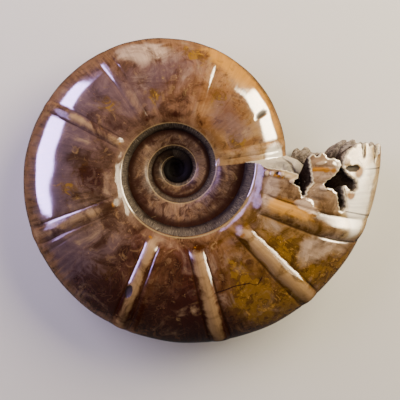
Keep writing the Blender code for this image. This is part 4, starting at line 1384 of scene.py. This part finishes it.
# %% Broken calcite
# Broken calcite: its grains turn the light back in all directions, so it looks chalky.
chalky = {"Roughness": 0.55, "Specular IOR Level": 0.0}
broken, read, patterns, _ = start_finish("broken calcite", chalky, ("depth", "slot"), {
    "crystals": ("space", 2.381, 5.0, 0.62, 0.6),
    "clouds": ("space", 11.11, 5.0, 0.62, 0.6),
})
tree = broken.node_tree
wall = {SHARE: patterns["clouds"], UNDER: colour("#b4a080"), OVER: colour("#968c86")}
wall = add(tree, "Mix", wall, MIXED, data_type="RGBA")
base = painted(tree, wall, read, patterns, (
    ("depth", 6.0, "clouds", 0.60, 1.10, 0.75, "#847872"),
    # Painted shade: the slots and the chamber's inside go dark brown to nearly black.
    ("slot", 9.0, "clouds", 0.70, 1.25, 0.92, "#24160f"),
    ("depth", 3.6, "clouds", 0.90, 1.50, 0.95, "#221610"),
    ("depth", 3.0, "clouds", 1.10, 1.70, 0.90, "#0c0503"),
    ("all", 0.0, "crystals", 0.56, 0.40, 0.60, "#140c06"),
    ("all", 0.0, "crystals", 0.64, 0.72, 0.30, "#d8c8ac"),
    ("depth", -50.0, "even", -0.70, -0.10, 0.80, "#ecdcbc"),
    # Painted light: the part of the wall nearest the turn before is lightened to pale grey.
    ("depth", 1.6, "clouds", 1.30, 2.20, 0.85, "#d0c2ac"),
))
print(end_finish(broken, base, patterns["crystals"], 0.5, 0.0008))

# %% Dress the shell, and say what it stands for
for finish in (calcite, broken, weathered):  # in the order of their numbers
    data.materials.append(finish)
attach(shell, "root")
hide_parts("ammonite")
print("materials:", [material.name for material in data.materials])

# %% [markdown]
# ## Floor, light and camera
# The shell lies on a pale studio floor. A reflector at each side, one cool and one warm, draws the
# long highlights on the flanks. Two soft boxes above them light the matt parts, so that the gloss
# and the tones can each be set by themselves. The camera looks down.

# %% Floor
# Matte paper: it scatters light evenly, so the shadow on it is soft.
FLOOR_HALF = 2.0  # metres
floor_data = bpy.data.meshes.new("floor")
corners = FLOOR_HALF * np.array([(-1, -1, 0), (1, -1, 0), (1, 1, 0), (-1, 1, 0)])
floor_data.from_pydata(corners.tolist(), [], [(0, 1, 2, 3)])
floor = bpy.data.objects.new("floor", floor_data)
bpy.context.scene.collection.objects.link(floor)
paper = bpy.data.materials.new("matte paper")
paper.use_nodes = True
shader = paper.node_tree.nodes["Principled BSDF"]
shader.inputs["Base Color"].default_value = colour("#cfccc8")
shader.inputs["Roughness"].default_value = 0.9
floor_data.materials.append(paper)
floor.visible_glossy = False  # the shell mirrors a dark room, as a polished thing on show does
print("floor, m:", 2 * FLOOR_HALF)

# %% Lights
LIGHT_DISTANCE = 1.1  # metres from the shell
STUDIO_LIGHT = 0.10  # strength of the room's own light, which is dim


def soft_box(name, direction, size, power, hex_value, lights_matt):
    """A flat light of (width, height) in metres and power in watts, in the direction (degrees
    round, degrees up) from the shell, facing it. It either lights matt parts or is mirrored."""
    around, rising = (math.radians(angle) for angle in direction)
    level = math.cos(rising)
    away = Vector((level * math.cos(around), level * math.sin(around), math.sin(rising)))
    panel = bpy.data.lights.new(name, "AREA")
    panel.shape = "RECTANGLE"
    panel.size, panel.size_y = size
    panel.energy = power
    panel.color = colour(hex_value)[:3]
    lamp = bpy.data.objects.new(name, panel)
    lamp.location = LIGHT_DISTANCE * away
    lamp.rotation_euler = away.to_track_quat("Z", "Y").to_euler()
    lamp.visible_camera = False
    lamp.visible_diffuse = lights_matt
    lamp.visible_glossy = not lights_matt
    bpy.context.scene.collection.objects.link(lamp)


# Name, direction, size, power, colour, and whether it lights matt parts.
for light in (
    ("left reflector", (162, 20), (1.25, 0.50), 180, "#ccaeff", False),
    ("right reflector", (13, 26), (0.94, 0.66), 230, "#ffecc8", False),
    ("left soft box", (150, 40), (0.8, 0.8), 12, "#f4ecff", True),
    ("right soft box", (45, 40), (0.8, 0.8), 25, "#fff0d0", True),
):
    soft_box(*light)
world = bpy.data.worlds.new("studio")
world.use_nodes = True
background = world.node_tree.nodes["Background"]
background.inputs["Color"].default_value = colour("#d8d8dc")
background.inputs["Strength"].default_value = STUDIO_LIGHT
bpy.context.scene.world = world

# %% Camera
VIEW_DISTANCE = 1.05  # metres
SENSOR_WIDTH = 36.0  # millimetres
VIEW_LEFT, VIEW_UP = math.radians(2.0), math.radians(3.7)  # off the coil's axis
VIEW_WIDTH = 0.336  # metres across the picture at the coil
AIM = np.array([0.0206, -0.0269, 0.0])  # in the coil's plane, the middle of the picture

sideways, upwards = -math.sin(VIEW_LEFT), math.sin(VIEW_UP)
from_coil = VIEW_DISTANCE * np.array([sideways, upwards, math.sqrt(1 - sideways**2 - upwards**2)])
in_coil = np.array([from_coil, AIM, AIM + (0, 1, 0)])
eye, aim, coil_up = (Vector(point) for point in at_rest(in_coil).tolist())
camera_data = bpy.data.cameras.new("camera")
camera_data.sensor_width = SENSOR_WIDTH
camera_data.lens = SENSOR_WIDTH * VIEW_DISTANCE / VIEW_WIDTH
camera = bpy.data.objects.new("camera", camera_data)
back = (eye - aim).normalized()
right = (coil_up - aim).cross(back).normalized()
facing = Matrix((right, back.cross(right), back)).transposed()
camera.matrix_world = Matrix.Translation(eye) @ facing.to_4x4()
bpy.context.scene.collection.objects.link(camera)
bpy.context.scene.camera = camera
print("camera at, mm:", [round(1000 * value) for value in eye])
